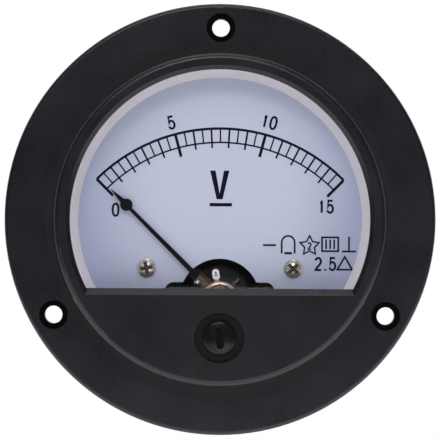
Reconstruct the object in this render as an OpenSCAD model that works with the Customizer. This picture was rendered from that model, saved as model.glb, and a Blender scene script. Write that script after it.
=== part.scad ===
// Round flush-mounting panel voltmeter with a moving-coil movement.
// Row frame: the face looks along -Y, +Z is up, +X is right. The origin is the centre of
// the flange's back face, which seats on the panel. Every piece is drawn lying down, with
// x right, y up and z towards the viewer, and upright() stands it up.

/* [Flange] */
// Width of the flange outside the bezel
flange_w = 10.5; // [9:0.5:16]
// Thickness of the flange
flange_t = 3.5; // [3:0.1:5]
// Rounding of the flange's front edge
flange_round = 0.8; // [0.2:0.1:1.5]
// Distance from the flange's edge to the fixing holes' circle
mount_inset = 5; // [4.5:0.5:6]
// Number of fixing holes
mount_count = 3; // [3:1:6]
// Diameter of a fixing hole
mount_hole_d = 3.7; // [3:0.1:4.5]
// Diameter of the sink round a fixing hole
mount_sink_d = 6.1; // [5:0.1:7]
// Depth of the sink round a fixing hole
mount_sink_depth = 0.8; // [0.3:0.1:1.5]

/* [Bezel] */
// Rounding of the bezel's outer edge
bezel_round = 1.2; // [0.5:0.1:1.6]
// Thickness of the bezel's side wall
bezel_side = 1.7; // [1.2:0.1:2]
// Thickness of the bezel's face
bezel_face = 2; // [1.8:0.1:2.5]

/* [Window] */
// Width of the lip that holds the glass, inside the bezel's side wall
window_lip = 1.7; // [1.2:0.1:4]
// Height of the window's sill above the pointer's pivot
sill_rise = 2.3; // [1.6:0.1:3]
// Bevel along the window's arc
arc_bevel = 0.85; // [0.3:0.05:1.2]
// Bevel along the window's sill
sill_bevel = 1.35; // [0.5:0.05:1.6]
// Clearance between the movement's front screw and the glass
glass_clear = 0.5; // [0.3:0.1:4]
// Thickness of the glass
glass_t = 1.5; // [1:0.1:2]
// Clearance between the glass and the bezel's side wall
glass_gap = 0.2; // [0.1:0.05:0.4]
// How far the glass reaches below the sill
glass_lap = 2.7; // [1.5:0.1:3]

/* [Zero adjuster] */
// Distance from the pointer's pivot down to the adjuster
lever_reach = 7.85; // [7.4:0.05:8.4]
// Diameter of the adjuster's head
adjust_head_d = 6.9; // [6:0.1:8]
// Height of the straight side of the head
adjust_side = 0.9; // [0.6:0.1:1.2]
// Rounding of the head's edge
adjust_edge = 0.5; // [0.2:0.05:0.6]
// Height of the head's dome
adjust_dome = 0.3; // [0.2:0.05:0.5]
// Diameter of the adjuster's shaft
adjust_shaft_d = 3.8; // [3:0.1:4.2]
// Length of the driver slot
adjust_slot_l = 4.6; // [3:0.1:5]
// Width of the driver slot
adjust_slot_w = 1.6; // [1:0.1:2]
// Depth of the driver slot below the top of the dome
adjust_slot_depth = 1.2; // [0.8:0.1:1.5]
// Turn of the driver slot from upright
adjust_slot_turn = 7.6; // [0:0.1:45]
// Diameter of the sink that the head sits in
adjust_sink_d = 10.4; // [9:0.1:11]
// Depth of the sink
adjust_sink_depth = 0.8; // [0.4:0.1:1]
// Throw of the eccentric pin
pin_throw = 1; // [0.6:0.1:1.1]
// Diameter of the eccentric pin
pin_d = 0.9; // [0.7:0.1:1.2]
// Width of the ribbed panel
grip_w = 11.6; // [10:0.1:14]
// Gap between the sill and the ribbed panel
grip_sill_gap = 2; // [1.6:0.1:3]
// Gap between the ribbed panel and the bezel's edge
grip_edge_gap = 2.1; // [2:0.1:4]
// Spacing of the ribs
rib_pitch = 0.75; // [0.6:0.05:1.2]
// Width of a rib
rib_w = 0.36; // [0.2:0.02:0.5]
// Height of a rib
rib_h = 0.22; // [0.1:0.02:0.4]

/* [Dial] */
// Clearance of the dial plate in the barrel
dial_gap = 0.2; // [0.1:0.05:0.4]
// Thickness of the dial plate
dial_t = 0.5; // [0.3:0.1:0.8]
// Drop of the dial's lower edge below the pivot
dial_tail = 0.5; // [0.2:0.1:0.8]
// Radius of the arched cut-out round the pivot
arch_r = 8.4; // [8:0.1:9]
// Gap between the front bridge and the ends of the cut-out's shoulders
shoulder_gap = 1; // [0.6:0.1:2]
// Gap between the front bridge and the top of the shoulders
shoulder_clear = 0.95; // [0.5:0.05:1.5]
// Corner radius of the shoulders
shoulder_round = 1.9; // [1:0.1:2.2]
// Width of the cream ring's visible foot inside the dial's edge
surround_lap = 0.65; // [0.4:0.05:0.9]
// How far the cream ring's front edge hides behind the window's edge
surround_hide = 0.2; // [0:0.05:0.4]

/* [Scale] */
// Drop of the scale's centre below the pivot
scale_offset = 0.9; // [0.4:0.1:1.4]
// How much larger the scale's radius is than the dial's
scale_over = 6.5; // [3.7:0.1:7.2]
// Width of the thick arc
thick_arc = 0.52; // [0.3:0.02:0.7]
// Radial step from the thick arc to the thin one
scale_band = 3; // [2:0.1:4]
// Width of the thin arc
thin_arc = 0.33; // [0.15:0.01:0.4]
// Sweep of the scale in degrees
sweep = 90; // [80:1:92]
// Number of divisions
divisions = 30; // [20:2:40]
// Divisions between two long marks
long_every = 10; // [5:1:10]
// Reach of a middle mark inside the thin arc
mid_reach = 1.3; // [0.8:0.1:1.6]
// Reach of a long mark inside the thin arc
long_reach = 2.1; // [1.5:0.1:2.5]
// Width of a short mark
short_mark_w = 0.3; // [0.15:0.01:0.4]
// Width of a middle mark
mid_mark_w = 0.38; // [0.2:0.01:0.5]
// Width of a long mark
long_mark_w = 0.6; // [0.3:0.01:0.7]
// Thickness of the printed ink
ink_t = 0.05; // [0.03:0.01:0.1]

/* [Pointer] */
// How far the pointer's tip stays behind the thin arc's radius
pointer_short = 1.5; // [1:0.1:3.5]
// Distance from the pointer's tip back to its disc
disc_back = 4.6; // [4.2:0.1:6]
// Diameter of the pointer's disc
disc_d = 2.6; // [2:0.1:3]
// Width of the pointer's tip where it leaves the disc
tip_w = 1.1; // [0.7:0.1:1.6]
// Width of the arm at the disc
arm_tip_w = 0.74; // [0.5:0.02:0.9]
// Width of the arm at its root
arm_root_w = 1.08; // [0.9:0.02:1.3]
// Thickness of the pointer
pointer_t = 0.4; // [0.3:0.05:0.5]
// Start of the painted arm from the pivot
paint_from = 6.5; // [6.4:0.1:7]
// Gap between the dial's face and the pointer's hub
pointer_lift = 0.6; // [0.5:0.1:0.7]
// Travel past each end of the scale in degrees, up to the stops
over_travel = 4; // [2:0.5:5]
// Length of the balance arms
balance_l = 5.9; // [5.5:0.1:6]
// Length of the tail arm
tail_l = 7.5; // [7.3:0.1:7.8]
// Width of the balance arms
balance_w = 0.7; // [0.5:0.05:0.8]

/* [Movement] */
// Diameter of the core magnet
core_d = 13.8; // [13:0.1:13.9]
// Length of the core magnet
core_l = 9; // [8:0.1:9.2]
// Width of the air gap between the core and the yoke
air_gap = 2.1; // [2.05:0.05:2.3]
// Wall of the yoke ring
yoke_wall = 2.8; // [2.6:0.1:2.9]
// Length of the yoke ring
yoke_l = 11.5; // [10.5:0.1:11.5]
// Width of the coil
coil_w = 2.5; // [2:0.1:2.8]
// Wall of the coil former
former_t = 0.25; // [0.2:0.05:0.3]
// Build of the winding over the former
winding_t = 1; // [0.7:0.05:1]
// Gap between the core and the former
core_gap = 0.25; // [0.2:0.05:0.3]
// Thickness of the movement frame
frame_t = 2; // [1.6:0.1:2.5]
// Depth from the dial's back to the movement frame
frame_drop = 3.5; // [3.3:0.1:4]
// Diameter of the pivots
staff_d = 0.8; // [0.6:0.05:0.9]
// Width of the bridges
bridge_w = 5; // [4:0.1:5]
// Thickness of the bridges
bridge_t = 1; // [0.8:0.1:1]
// Gap between the front bridge's legs and the coil's hole
leg_gap = 0.6; // [0.3:0.1:0.8]
// Diameter of a jewel screw
jewel_d = 1.8; // [1.6:0.1:2]
// Pitch of the hairsprings
spring_pitch = 0.4; // [0.3:0.02:0.4]
// Turns of each hairspring
spring_turns = 6; // [4:1:6]
// Thickness of the hairspring strip
strip_t = 0.1; // [0.08:0.01:0.12]
// Width of the hairspring strip
strip_w = 0.5; // [0.3:0.05:0.6]
// Diameter of the zero lever's rolled rim
rim_d = 7.54; // [7:0.02:7.8]
// Thickness of the zero lever's sheet
lever_t = 0.4; // [0.3:0.05:0.4]

/* [Rear case] */
// Outer diameter of the barrel, which goes through the panel
barrel_d = 64; // [60:0.5:80]
// Wall of the barrel
barrel_wall = 1.5; // [1.2:0.1:1.6]
// Depth of the barrel behind the panel
barrel_l = 36; // [34.5:0.5:45]
// Thickness of the rear wall
rear_wall = 2.5; // [2:0.1:3]
// Height of the collar inside the flange
collar_h = 2.5; // [2.4:0.1:2.8]
// Step from the barrel out to the collar
collar_step = 0.6; // [0.4:0.1:1]
// Clearance of the collar in the front case
collar_gap = 0.2; // [0.1:0.05:0.3]
// Distance from the barrel's inner wall in to the case screws
case_screw_inset = 2.5; // [2.2:0.1:2.8]
// Angle of the case screws below the horizontal
case_screw_angle = 52; // [50:0.5:54]
// Thread diameter of the case screws
case_screw_d = 3; // [2.5:0.1:3]
// Width of the hook at the top of the collar
hook_w = 8; // [5:0.5:12]

/* [Terminals] */
// Distance between the terminal studs
stud_spacing = 30; // [28:0.5:34]
// Thread diameter of a stud
stud_d = 4; // [3:0.1:4.5]
// Length of a stud behind the rear wall
stud_l = 15; // [13.5:0.5:25]
// Width across a stud nut's flats
nut_flats = 7; // [6.4:0.1:8]
// Thickness of a stud nut
nut_t = 3.2; // [2.4:0.1:3.4]
// Diameter of a washer
washer_d = 9; // [8:0.1:10]
// Thickness of a washer
washer_t = 0.8; // [0.5:0.1:1]
// Diameter of the lead wires
wire_d = 0.7; // [0.5:0.1:1]

/* [Fits] */
// Radial running clearance of a moving fit
run_gap = 0.05; // [0.02:0.01:0.08]
// Radial clearance of a screw in its tapped hole
thread_gap = 0.02; // [0.01:0.01:0.05]
// Clearance of a screw's shank in a plain hole
pass_gap = 0.15; // [0.1:0.05:0.3]
// Clearance between pieces that stand next to each other
free_gap = 0.2; // [0.1:0.05:0.3]

/* [Hidden] */
$fn = 96;
eps = 0.01;
// how far a cut runs past the faces that it opens
cut = 1;
// how deep a rib, boss or rim is rooted in the wall that carries it
rooted = 0.1;
// longer than anything here
far = 200;

// heights above the flange's back, which is the panel's front
dial_front = dial_t;
dial_back = 0;
frame_front = dial_back - frame_drop;
frame_back = frame_front - frame_t;

// radii, outwards from the barrel
barrel_r = barrel_d / 2;
barrel_in_r = barrel_r - barrel_wall;
collar_r = barrel_r + collar_step;
cavity_r = collar_r + collar_gap;
bezel_r = cavity_r + bezel_side;
flange_r = bezel_r + flange_w;
mount_r = flange_r - mount_inset;
glass_r = cavity_r - glass_gap;
window_r = cavity_r - window_lip;
dial_r = barrel_in_r - dial_gap;
surround_foot_r = dial_r - surround_lap;
surround_top_r = window_r + surround_hide;
surround_fit = 0.1;
surround_back_r = barrel_in_r - surround_fit;
frame_gap = 0.3;
frame_r = barrel_in_r - frame_gap;

// magnet system, across
core_r = core_d / 2;
yoke_in_r = core_r + air_gap;
yoke_r = yoke_in_r + yoke_wall;
collar_fit_r = yoke_r + run_gap;
collar_wall = 1.4;
former_in = core_r + core_gap;
former_out = former_in + former_t;
winding_out = former_out + winding_t;
coil_hole_gap = 0.5;
coil_hole_r = winding_out + coil_hole_gap;

// the pivot, as low as the magnet system's collar allows, and what lines up with it
barrel_clear = 0.65;
pivot_drop = barrel_in_r - barrel_clear - collar_wall - collar_fit_r;
sill_drop = pivot_drop - sill_rise;
dial_drop = pivot_drop + dial_tail;
scale_drop = pivot_drop + scale_offset;
adjust_drop = pivot_drop + lever_reach;
dial_screw_rise = 6.4;
dial_screw_drop = pivot_drop - dial_screw_rise;
dial_screw_x = 15.35;

// the scale, and the pointer's rest to the left of upright
scale_r = dial_r + scale_over;
thin_r = scale_r - scale_band;
pointer_l = thin_r - pointer_short;
disc_at = pointer_l - disc_back;
rest_angle = sweep / 2;

// moving system, drawn with the pointer along +y and the pivot at the origin
cross_t = 0.4;
cross_back = dial_front + pointer_lift;
hub_back = cross_back - 0.1;
pointer_back = cross_back + cross_t;
hub_front = pointer_back + pointer_t;
hub_r = 1.4;
shank_lap = 1.6;
bead_at = [-0.95, 5.6];
bead_r = 0.8;
bead_h = 0.62;
weight_r = 0.62;
weight_l = 1.2;
side_weight_at = 5.2;
tail_weight_at = 2.9;
collet_r = 0.9;
collet_over = 0.15;
collet_h = strip_w + 2 * collet_over;
collet_back = hub_front + 0.1;
spring_back = collet_back + collet_over;

// front bridge and what stands on it
bridge_span = 2 * (coil_hole_r + leg_gap + bridge_t);
foot_l = 4.2;
bridge_screw_x = bridge_span / 2 + foot_l / 2;
shoulder_w = bridge_span + 2 * shoulder_gap;
shoulder_rise = bridge_w / 2 + shoulder_clear;
bridge_back = hub_front + 1.3;
bridge_front = bridge_back + bridge_t;
lever_back = bridge_front + run_gap;
lever_front = lever_back + lever_t;
lever_pin_r = 1.45;
lock_nut_gap = 0.1;
lock_nut_flats = 2.8;
lock_nut_t = 0.7;
lock_nut_back = lever_front + lock_nut_gap;
jewel_l = 3;
jewel_over = 0.2;
jewel_back = bridge_back - jewel_over;
pivot_reach = 0.35;

// glass and bezel, in front of the bridge's screw
glass_back = jewel_back + jewel_l + glass_clear;
face_back = glass_back + glass_t;
bezel_h = face_back + bezel_face;
sink_floor = bezel_h - adjust_sink_depth;

// magnet system, front to back
yoke_front = frame_back;
yoke_back = yoke_front - yoke_l;
core_sink = 0.25;
core_front = yoke_front - (yoke_l - core_l) / 2 - core_sink;
core_back = core_front - core_l;
key_w = 3.6;
key_inset = 0.5;
coil_end_gap = 0.4;
coil_front = core_front + coil_end_gap + former_t + winding_t;
coil_back = core_back - coil_end_gap - former_t - winding_t;
yoke_hold = 6;

// rear bridge
rear_gap = 2.3;
rear_bridge_front = coil_back - rear_gap;
rear_bridge_back = rear_bridge_front - bridge_t;
rear_bridge_half = yoke_r - 0.4;
rear_foot = 2;
rear_jewel_front = rear_bridge_front + jewel_over;
rear_arm_front = rear_bridge_back - run_gap;
rear_arm_back = rear_arm_front - lever_t;
rear_spring_front = rear_jewel_front + 0.9;
rear_collet_back = rear_spring_front - strip_w - collet_over;
rear_screw_x = yoke_r - yoke_wall / 2;
rear_screw_r = 0.8;
rear_pass_gap = 0.1;
rear_screw_in = 4;
rear_head_r = 1.5;
rear_head_h = 0.9;

// hairsprings, and the ears that hold their outer ends
spring_r = collet_r + run_gap + strip_t / 2;
spring_out = spring_r + spring_turns * spring_pitch;
ear_at = 4.45;
ear_t = 0.3;
ear_w = 0.5;

// zero lever: its tab leans to the left, and its fork hangs down to the eccentric pin
tab_turn = 8.6;
tab_w = 1.46;
tab_top = 6.36;
rim_roll = 0.66;
fork_gap = 0.12;
fork_slot_w = pin_d + 2 * fork_gap;
fork_root = 0.3;
fork_end = lever_reach + pin_throw + 1;
fork_w = fork_slot_w + 1.2;

// stop fingers of the front bridge: the tail arm meets their lower inner corners
tail_limit = 180 - rest_angle - over_travel;
stop_gap = 0.1;
finger_low = 4.3;
finger_t = 0.6;
finger_w = 0.8;
finger_x = (balance_w / 2 + stop_gap + finger_low * sin(tail_limit)) / -cos(tail_limit);

// small screws: thread radius, head radius and head height
m2_r = 1;
m2_head_r = 1.9;
m2_head_h = 1.2;
screw_short = 0.7;
tip_gap = 1;
dial_post_r = 2.4;
bridge_head_r = 1.8;
bridge_head_h = 1.1;
frame_screw_r = 1.25;
frame_screw_inset = 2.7;
frame_screw_at = barrel_in_r - frame_screw_inset;
frame_screw_angles = [20, 90, 160];
frame_screw_in = 6;
frame_head_r = 2.2;
frame_head_h = 1.4;
case_head_r = 2.4;
case_head_h = 1.8;
case_post_r = 3.3;
case_boss_r = 3.1;
case_screw_at = barrel_in_r - case_screw_inset;
case_seat = -5;

// adjuster
shaft_r = adjust_shaft_d / 2;
bush_r = shaft_r + 1.7;
bush_back = face_back - 1.6;
clip_t = 0.4;
clip_r = shaft_r + 1.1;
groove_r = shaft_r - 0.4;
clip_front = bush_back - run_gap;
clip_back = clip_front - clip_t;
shaft_back = clip_back - 0.5;
pin_back = lever_back - 0.35;

// rear case
wall_back = -barrel_l;
wall_front = wall_back + rear_wall;
hook_t = 1.3;
hook_reach = 1;
hook_gap = 0.2;
case_rib_w = 5;
rib_depth = 2.4;
pad_h = 1;
pad_r = washer_d / 2 + 1;

// terminals
stud_r = stud_d / 2;
stud_x = stud_spacing / 2;
stud_head_h = 2.3;
lug_t = 0.5;
lug_l = 6;
lug_front = wall_front + stud_head_h + lug_t;
inner_nut_t = 2;
stud_in = lug_front + inner_nut_t + 0.7;
washer_front = wall_back - pad_h;
nut_front = washer_front - washer_t;
wire_washer_front = nut_front - nut_t;
spring_washer_front = wire_washer_front - washer_t;
spring_washer_t = 1;
wire_nut_front = spring_washer_front - spring_washer_t;

// inner wiring: a leg leaves each joint straight for a bend's length
wire_r = wire_d / 2;
bend = 1.5;
lead_gap = 0.3;
lead_hole_side = 4.8;
lead_hole = [-bridge_span / 2 - foot_l - lead_hole_side, 3.1 - pivot_drop, 0];
resistor_r = 1.6;
resistor_l = 8;
resistor_y = 4;
resistor_lift = 4;
resistor_z = lug_front + resistor_lift;
solder_in = 1;
solder_x = stud_x - lug_l + solder_in;
splice_x = resistor_l / 2 + 2 * solder_in;

// ---- placing ----

// stands a piece up, so that its face looks along -Y
module upright() rotate([90, 0, 0]) children();

// a piece on the pivot's axis
module at_pivot() upright() translate([0, -pivot_drop, 0]) children();

// a piece of the moving system at rest, on the scale's zero
module at_rest() at_pivot() rotate([0, 0, rest_angle]) children();

module mirrored_pair(x) for (side = [-1, 1]) translate([side * x, 0, 0]) children();

// the places where several pieces meet, in a lying piece's frame
module at_adjuster() translate([0, -adjust_drop, 0]) children();

module at_dial_screws() translate([0, -dial_screw_drop, 0]) mirrored_pair(dial_screw_x) children();

module at_case_screws()
    translate([0, -case_screw_at * sin(case_screw_angle), 0])
        mirrored_pair(case_screw_at * cos(case_screw_angle)) children();

module at_frame_screws()
    for (angle = frame_screw_angles) rotate([0, 0, angle]) translate([frame_screw_at, 0, 0]) children();

module at_studs() mirrored_pair(stud_x) children();

// ---- shared shapes ----

// a disc from z0 to z1 whose front edge is rounded
module rounded_disc(r, z0, z1, round) {
    rotate_extrude() {
        translate([0, z0]) square([r - round, z1 - z0]);
        translate([0, z0]) square([r, z1 - z0 - round]);
        translate([r - round, z1 - round]) circle(round);
    }
}

// a straight post or disc from z0 to z1
module post(r, z0, z1) translate([0, 0, z0]) cylinder(r = r, h = z1 - z0);

// a cutter right through from z0 to z1
module bore(r, z0, z1) post(r, z0 - cut, z1 + cut);

// a tube or washer from z0 to z1
module ring(r_out, r_in, z0, z1) {
    difference() {
        post(r_out, z0, z1);
        bore(r_in, z0, z1);
    }
}

module bar(x0, x1, y0, y1, z0, z1) translate([x0, y0, z0]) cube([x1 - x0, y1 - y0, z1 - z0]);

// everything above a level line
module above(y) translate([-far / 2, y, -far / 2]) cube([far, far, far]);

// a hexagon nut with both outer rims chamfered
module hex_nut(flats, bore_r, z0, z1) {
    corner_r = flats / 2 / cos(30);
    rim = flats * 0.07;
    difference() {
        intersection() {
            translate([0, 0, z0]) cylinder(r = corner_r, h = z1 - z0, $fn = 6);
            rotate_extrude() polygon([
                [0, z0], [flats / 2, z0], [corner_r, z0 + rim], [corner_r, z1 - rim],
                [flats / 2, z1], [0, z1]
            ]);
        }
        bore(bore_r, z0, z1);
    }
}

// a dome of height h on a circle of radius r, standing on z = 0
module dome(r, h) {
    ball = (r * r + h * h) / (2 * h);
    intersection() {
        translate([0, 0, h - ball]) sphere(r = ball);
        cylinder(r = r, h = h + eps);
    }
}

// a cross recess sunk from z = 0 downwards
module cross_recess(l, w, depth) {
    for (turn = [0, 90]) rotate([0, 0, turn]) bar(-l / 2, l / 2, -w / 2, w / 2, -depth, cut);
}

// a cross-head screw with its head's seat at z = 0 and its shank below
module pan_screw(shank_r, shank_l, head_r, head_h, turn) {
    crown = head_h * 0.55;
    difference() {
        union() {
            post(head_r, 0, head_h - crown);
            translate([0, 0, head_h - crown]) dome(head_r, crown);
            post(shank_r, -shank_l, eps);
        }
        rotate([0, 0, turn]) translate([0, 0, head_h])
            cross_recess(head_r * 1.4, head_r * 0.42, head_h * 0.62);
    }
}

// a straight wire from p to q, running on past either end by its lap
module rod(p, q, r, lap_p, lap_q) {
    d = q - p;
    l = norm(d);
    translate(p) rotate([0, acos(d.z / l), atan2(d.y, d.x)])
        translate([0, 0, -lap_p]) cylinder(r = r, h = l + lap_p + lap_q, $fn = 12);
}

// a bent wire through points, whose legs overlap at the bends
module wire(points, r) {
    last = len(points) - 1;
    for (i = [1 : last])
        rod(points[i - 1], points[i], r, i == 1 ? 0 : r / 2, i == last ? 0 : r / 2);
}

// a flat spiral of half-turn arcs, inner end on +x and outer end on +x
module spiral(r0, pitch, turns, strip, h) {
    for (k = [0 : 2 * turns - 1]) {
        r = r0 + k * pitch / 2;
        odd = k % 2;
        translate([odd * pitch / 2, 0, 0]) rotate([0, 0, 180 * odd])
            rotate_extrude(angle = 180) translate([r - strip / 2, 0]) square([strip, h]);
    }
}

// ---- case front ----

module mount_holes() {
    for (i = [0 : mount_count - 1]) rotate([0, 0, 90 + i * 360 / mount_count])
        translate([mount_r, 0, 0]) {
            bore(mount_hole_d / 2, 0, flange_t);
            post(mount_sink_d / 2, flange_t - mount_sink_depth, flange_t + cut);
        }
}

// the window's opening, flared towards the front along its arc and its sill
module window_opening() {
    intersection() {
        rotate_extrude() polygon([
            [0, face_back - cut], [window_r, face_back - cut], [window_r, bezel_h - arc_bevel],
            [window_r + arc_bevel, bezel_h], [window_r + arc_bevel, bezel_h + cut],
            [0, bezel_h + cut]
        ]);
        rotate([90, 0, 90]) translate([0, 0, -far / 2]) linear_extrude(far) polygon([
            [-sill_drop, face_back - 2 * cut], [-sill_drop, bezel_h - sill_bevel],
            [-sill_drop - sill_bevel, bezel_h], [-sill_drop - sill_bevel, bezel_h + 2 * cut],
            [far / 2, bezel_h + 2 * cut], [far / 2, face_back - 2 * cut]
        ]);
    }
}

module grip_ribs() {
    count = floor((grip_w - rib_w) / rib_pitch) + 1;
    first = -(count - 1) * rib_pitch / 2;
    for (i = [0 : count - 1]) translate([first + i * rib_pitch, 0, 0])
        bar(-rib_w / 2, rib_w / 2, grip_edge_gap - bezel_r, -sill_drop - grip_sill_gap,
            bezel_h - rooted, bezel_h + rib_h);
}

module case_bosses() {
    at_case_screws()
        ring(case_boss_r, case_screw_d / 2 + thread_gap, collar_h + free_gap, face_back + eps);
}

module front_case() {
    color([0.16, 0.16, 0.17]) upright() difference() {
        union() {
            difference() {
                union() {
                    rounded_disc(flange_r, 0, flange_t, flange_round);
                    rounded_disc(bezel_r, 0, bezel_h, bezel_round);
                    grip_ribs();
                }
                post(cavity_r, -cut, face_back);
            }
            case_bosses();
            at_adjuster() post(bush_r, bush_back, face_back + eps);
        }
        mount_holes();
        window_opening();
        // sink and bore of the adjuster
        at_adjuster() {
            post(adjust_sink_d / 2, sink_floor, bezel_h + rib_h + cut);
            bore(shaft_r + run_gap, bush_back, bezel_h);
        }
        // pocket for the rear case's hook
        bar(-hook_w / 2 - hook_gap, hook_w / 2 + hook_gap,
            0, collar_r + hook_reach + 2 * hook_gap,
            collar_h - hook_t - hook_gap, collar_h + hook_gap);
    }
}

module window_glass() {
    color([0.8, 0.9, 0.95, 0.3]) upright() intersection() {
        post(glass_r, glass_back, face_back);
        above(-sill_drop - glass_lap);
    }
}

// the cream ring: a leaning inner face from the glass down to the dial's edge
module dial_surround() {
    color([0.8, 0.79, 0.8]) upright() intersection() {
        rotate_extrude() polygon([
            [surround_top_r, glass_back], [glass_r - free_gap, glass_back],
            [glass_r - free_gap, collar_h], [surround_back_r, collar_h],
            [surround_back_r, dial_front], [surround_foot_r, dial_front]
        ]);
        above(-sill_drop - glass_lap);
    }
}

// ---- dial ----

module shoulder_outline() {
    half = shoulder_w / 2 - shoulder_round;
    top = shoulder_rise - shoulder_round;
    translate([-half, -far]) square([2 * half, far + shoulder_rise]);
    translate([-shoulder_w / 2, -far]) square([shoulder_w, far + top]);
    for (side = [-1, 1]) translate([side * half, top]) circle(shoulder_round);
}

module dial_plate() {
    color([0.72, 0.75, 0.82]) upright() difference() {
        intersection() {
            post(dial_r, dial_back, dial_front);
            above(-dial_drop);
        }
        translate([0, -pivot_drop, 0]) {
            bore(arch_r, dial_back, dial_front);
            translate([0, 0, dial_back - cut]) linear_extrude(dial_t + 2 * cut) shoulder_outline();
        }
        at_dial_screws() bore(m2_r + pass_gap, dial_back, dial_front);
    }
}

// the part of a circle band within the scale's sweep
module arc_band(r_out, w) {
    rotate([0, 0, 90 - sweep / 2]) rotate_extrude(angle = sweep)
        translate([r_out - w, 0]) square([w, ink_t]);
}

module scale_mark(i) {
    is_long = i % long_every == 0;
    is_mid = i % 2 == 0;
    w = is_long ? long_mark_w : (is_mid ? mid_mark_w : short_mark_w);
    r_in = is_long ? thin_r - long_reach : (is_mid ? thin_r - mid_reach : thin_r - thin_arc / 2);
    rotate([0, 0, sweep / 2 - i * sweep / divisions])
        translate([-w / 2, r_in, 0]) cube([w, scale_r - thick_arc / 2 - r_in, ink_t]);
}

module scale_print() {
    color([0.08, 0.08, 0.12]) upright() translate([0, -scale_drop, dial_front]) {
        arc_band(scale_r, thick_arc);
        arc_band(thin_r, thin_arc);
        for (i = [0 : divisions]) scale_mark(i);
    }
}

module dial_screw(side, turn) {
    color([0.75, 0.74, 0.7]) upright()
        translate([side * dial_screw_x, -dial_screw_drop, dial_front])
            pan_screw(m2_r, dial_front - frame_back - screw_short, m2_head_r, m2_head_h, turn);
}

module dial_screw_left() dial_screw(-1, 12);

module dial_screw_right() dial_screw(1, 45);

// ---- zero adjuster ----

module zero_screw() {
    seat = sink_floor + run_gap;
    rim = seat + adjust_side + adjust_edge;
    top = rim + adjust_dome;
    half_slot = adjust_slot_l / 2 - adjust_slot_w / 2;
    color([0.07, 0.07, 0.08]) upright() at_adjuster() {
        difference() {
            union() {
                rounded_disc(adjust_head_d / 2, seat, rim, adjust_edge);
                translate([0, 0, rim]) dome(adjust_head_d / 2 - adjust_edge, adjust_dome);
                post(shaft_r, shaft_back, seat + eps);
            }
            // driver slot with round ends
            rotate([0, 0, adjust_slot_turn]) translate([0, 0, top - adjust_slot_depth])
                linear_extrude(adjust_slot_depth + cut) {
                    translate([-adjust_slot_w / 2, -half_slot])
                        square([adjust_slot_w, 2 * half_slot]);
                    for (end = [-1, 1]) translate([0, end * half_slot]) circle(d = adjust_slot_w);
                }
            // groove for the clip
            difference() {
                post(shaft_r + cut, clip_back - run_gap, clip_front + run_gap / 2);
                bore(groove_r, clip_back, clip_front);
            }
        }
        translate([0, -pin_throw, 0]) post(pin_d / 2, pin_back, shaft_back + eps);
    }
}

// the open clip behind the bush that keeps the adjuster in
module zero_clip() {
    mouth = groove_r * 1.7;
    color([0.6, 0.6, 0.62]) upright() at_adjuster() difference() {
        ring(clip_r, groove_r + thread_gap, clip_back, clip_front);
        bar(-mouth / 2, mouth / 2, 0, clip_r + cut, clip_back - cut, clip_front + cut);
    }
}

// flat outline of the lever's upper tab, pointing along +y
module tab_outline() {
    neck_w = 1;
    head_r = tab_w / 2;
    sight = [0.6, 0.6];
    sight_low = tab_top - 1.05;
    nick = [tab_w / 2, 0.24];
    nick_low = tab_top - 1.5;
    translate([-neck_w / 2, rim_d / 2 - rim_roll]) square([neck_w, ear_at + ear_t - rim_d / 2 + rim_roll]);
    difference() {
        union() {
            translate([-head_r, ear_at]) square([tab_w, tab_top - head_r - ear_at]);
            translate([0, tab_top - head_r]) circle(head_r);
        }
        translate([0, sight_low]) polygon([[-sight.x / 2, 0], [sight.x / 2, 0], [0, sight.y]]);
        translate([-nick.x / 2, nick_low]) square(nick);
    }
}

// regulator: a disc with a rolled rim, the tab that holds the hairspring, and the fork
module zero_lever() {
    color([0.8, 0.7, 0.5]) at_pivot() {
        difference() {
            union() {
                post(rim_d / 2 - rim_roll, lever_back, lever_front);
                rotate_extrude() intersection() {
                    translate([rim_d / 2 - rim_roll, lever_back]) circle(rim_roll);
                    translate([0, lever_back]) square([rim_d, 2 * rim_roll]);
                }
                bar(-fork_w / 2, fork_w / 2, -fork_end, rim_roll - rim_d / 2, lever_back, lever_front);
            }
            bore(lever_pin_r + run_gap, lever_back, lever_back + rim_roll);
            bar(-fork_slot_w / 2, fork_slot_w / 2, -fork_end - cut, -lever_reach + fork_root,
                lever_back - cut, lever_front + cut);
        }
        rotate([0, 0, tab_turn]) {
            translate([0, 0, lever_back]) linear_extrude(lever_t) tab_outline();
            bar(-ear_w / 2, ear_w / 2, ear_at, ear_at + ear_t, spring_back, lever_back + eps);
        }
    }
}

// ---- front bridge ----

module front_bridge() {
    half = bridge_span / 2;
    color([0.7, 0.68, 0.62]) at_pivot() difference() {
        union() {
            bar(-half, half, -bridge_w / 2, bridge_w / 2, bridge_back, bridge_front);
            post(lever_pin_r, bridge_back, lever_front + run_gap);
            for (side = [0, 1]) mirror([side, 0, 0]) {
                // leg and foot
                bar(half - bridge_t, half, -bridge_w / 2, bridge_w / 2, frame_front, bridge_front);
                bar(half - bridge_t, half + foot_l, -bridge_w / 2, bridge_w / 2,
                    frame_front, frame_front + bridge_t);
                // ear and stop finger
                bar(finger_x, finger_x + finger_w, -finger_low, -bridge_w / 2 + eps,
                    bridge_back, bridge_front);
                bar(finger_x, finger_x + finger_w, -finger_low, -finger_low + finger_t,
                    hub_back, bridge_front);
            }
        }
        bore(jewel_d / 2 + thread_gap, bridge_back, lever_front + run_gap);
        mirrored_pair(bridge_screw_x) bore(m2_r + pass_gap, frame_front, frame_front + bridge_t);
    }
}

module front_bridge_screws() {
    color([0.75, 0.74, 0.7]) at_pivot() mirrored_pair(bridge_screw_x)
        translate([0, 0, frame_front + bridge_t])
            pan_screw(m2_r, bridge_t + frame_t - screw_short, bridge_head_r, bridge_head_h, 30);
}

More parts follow.
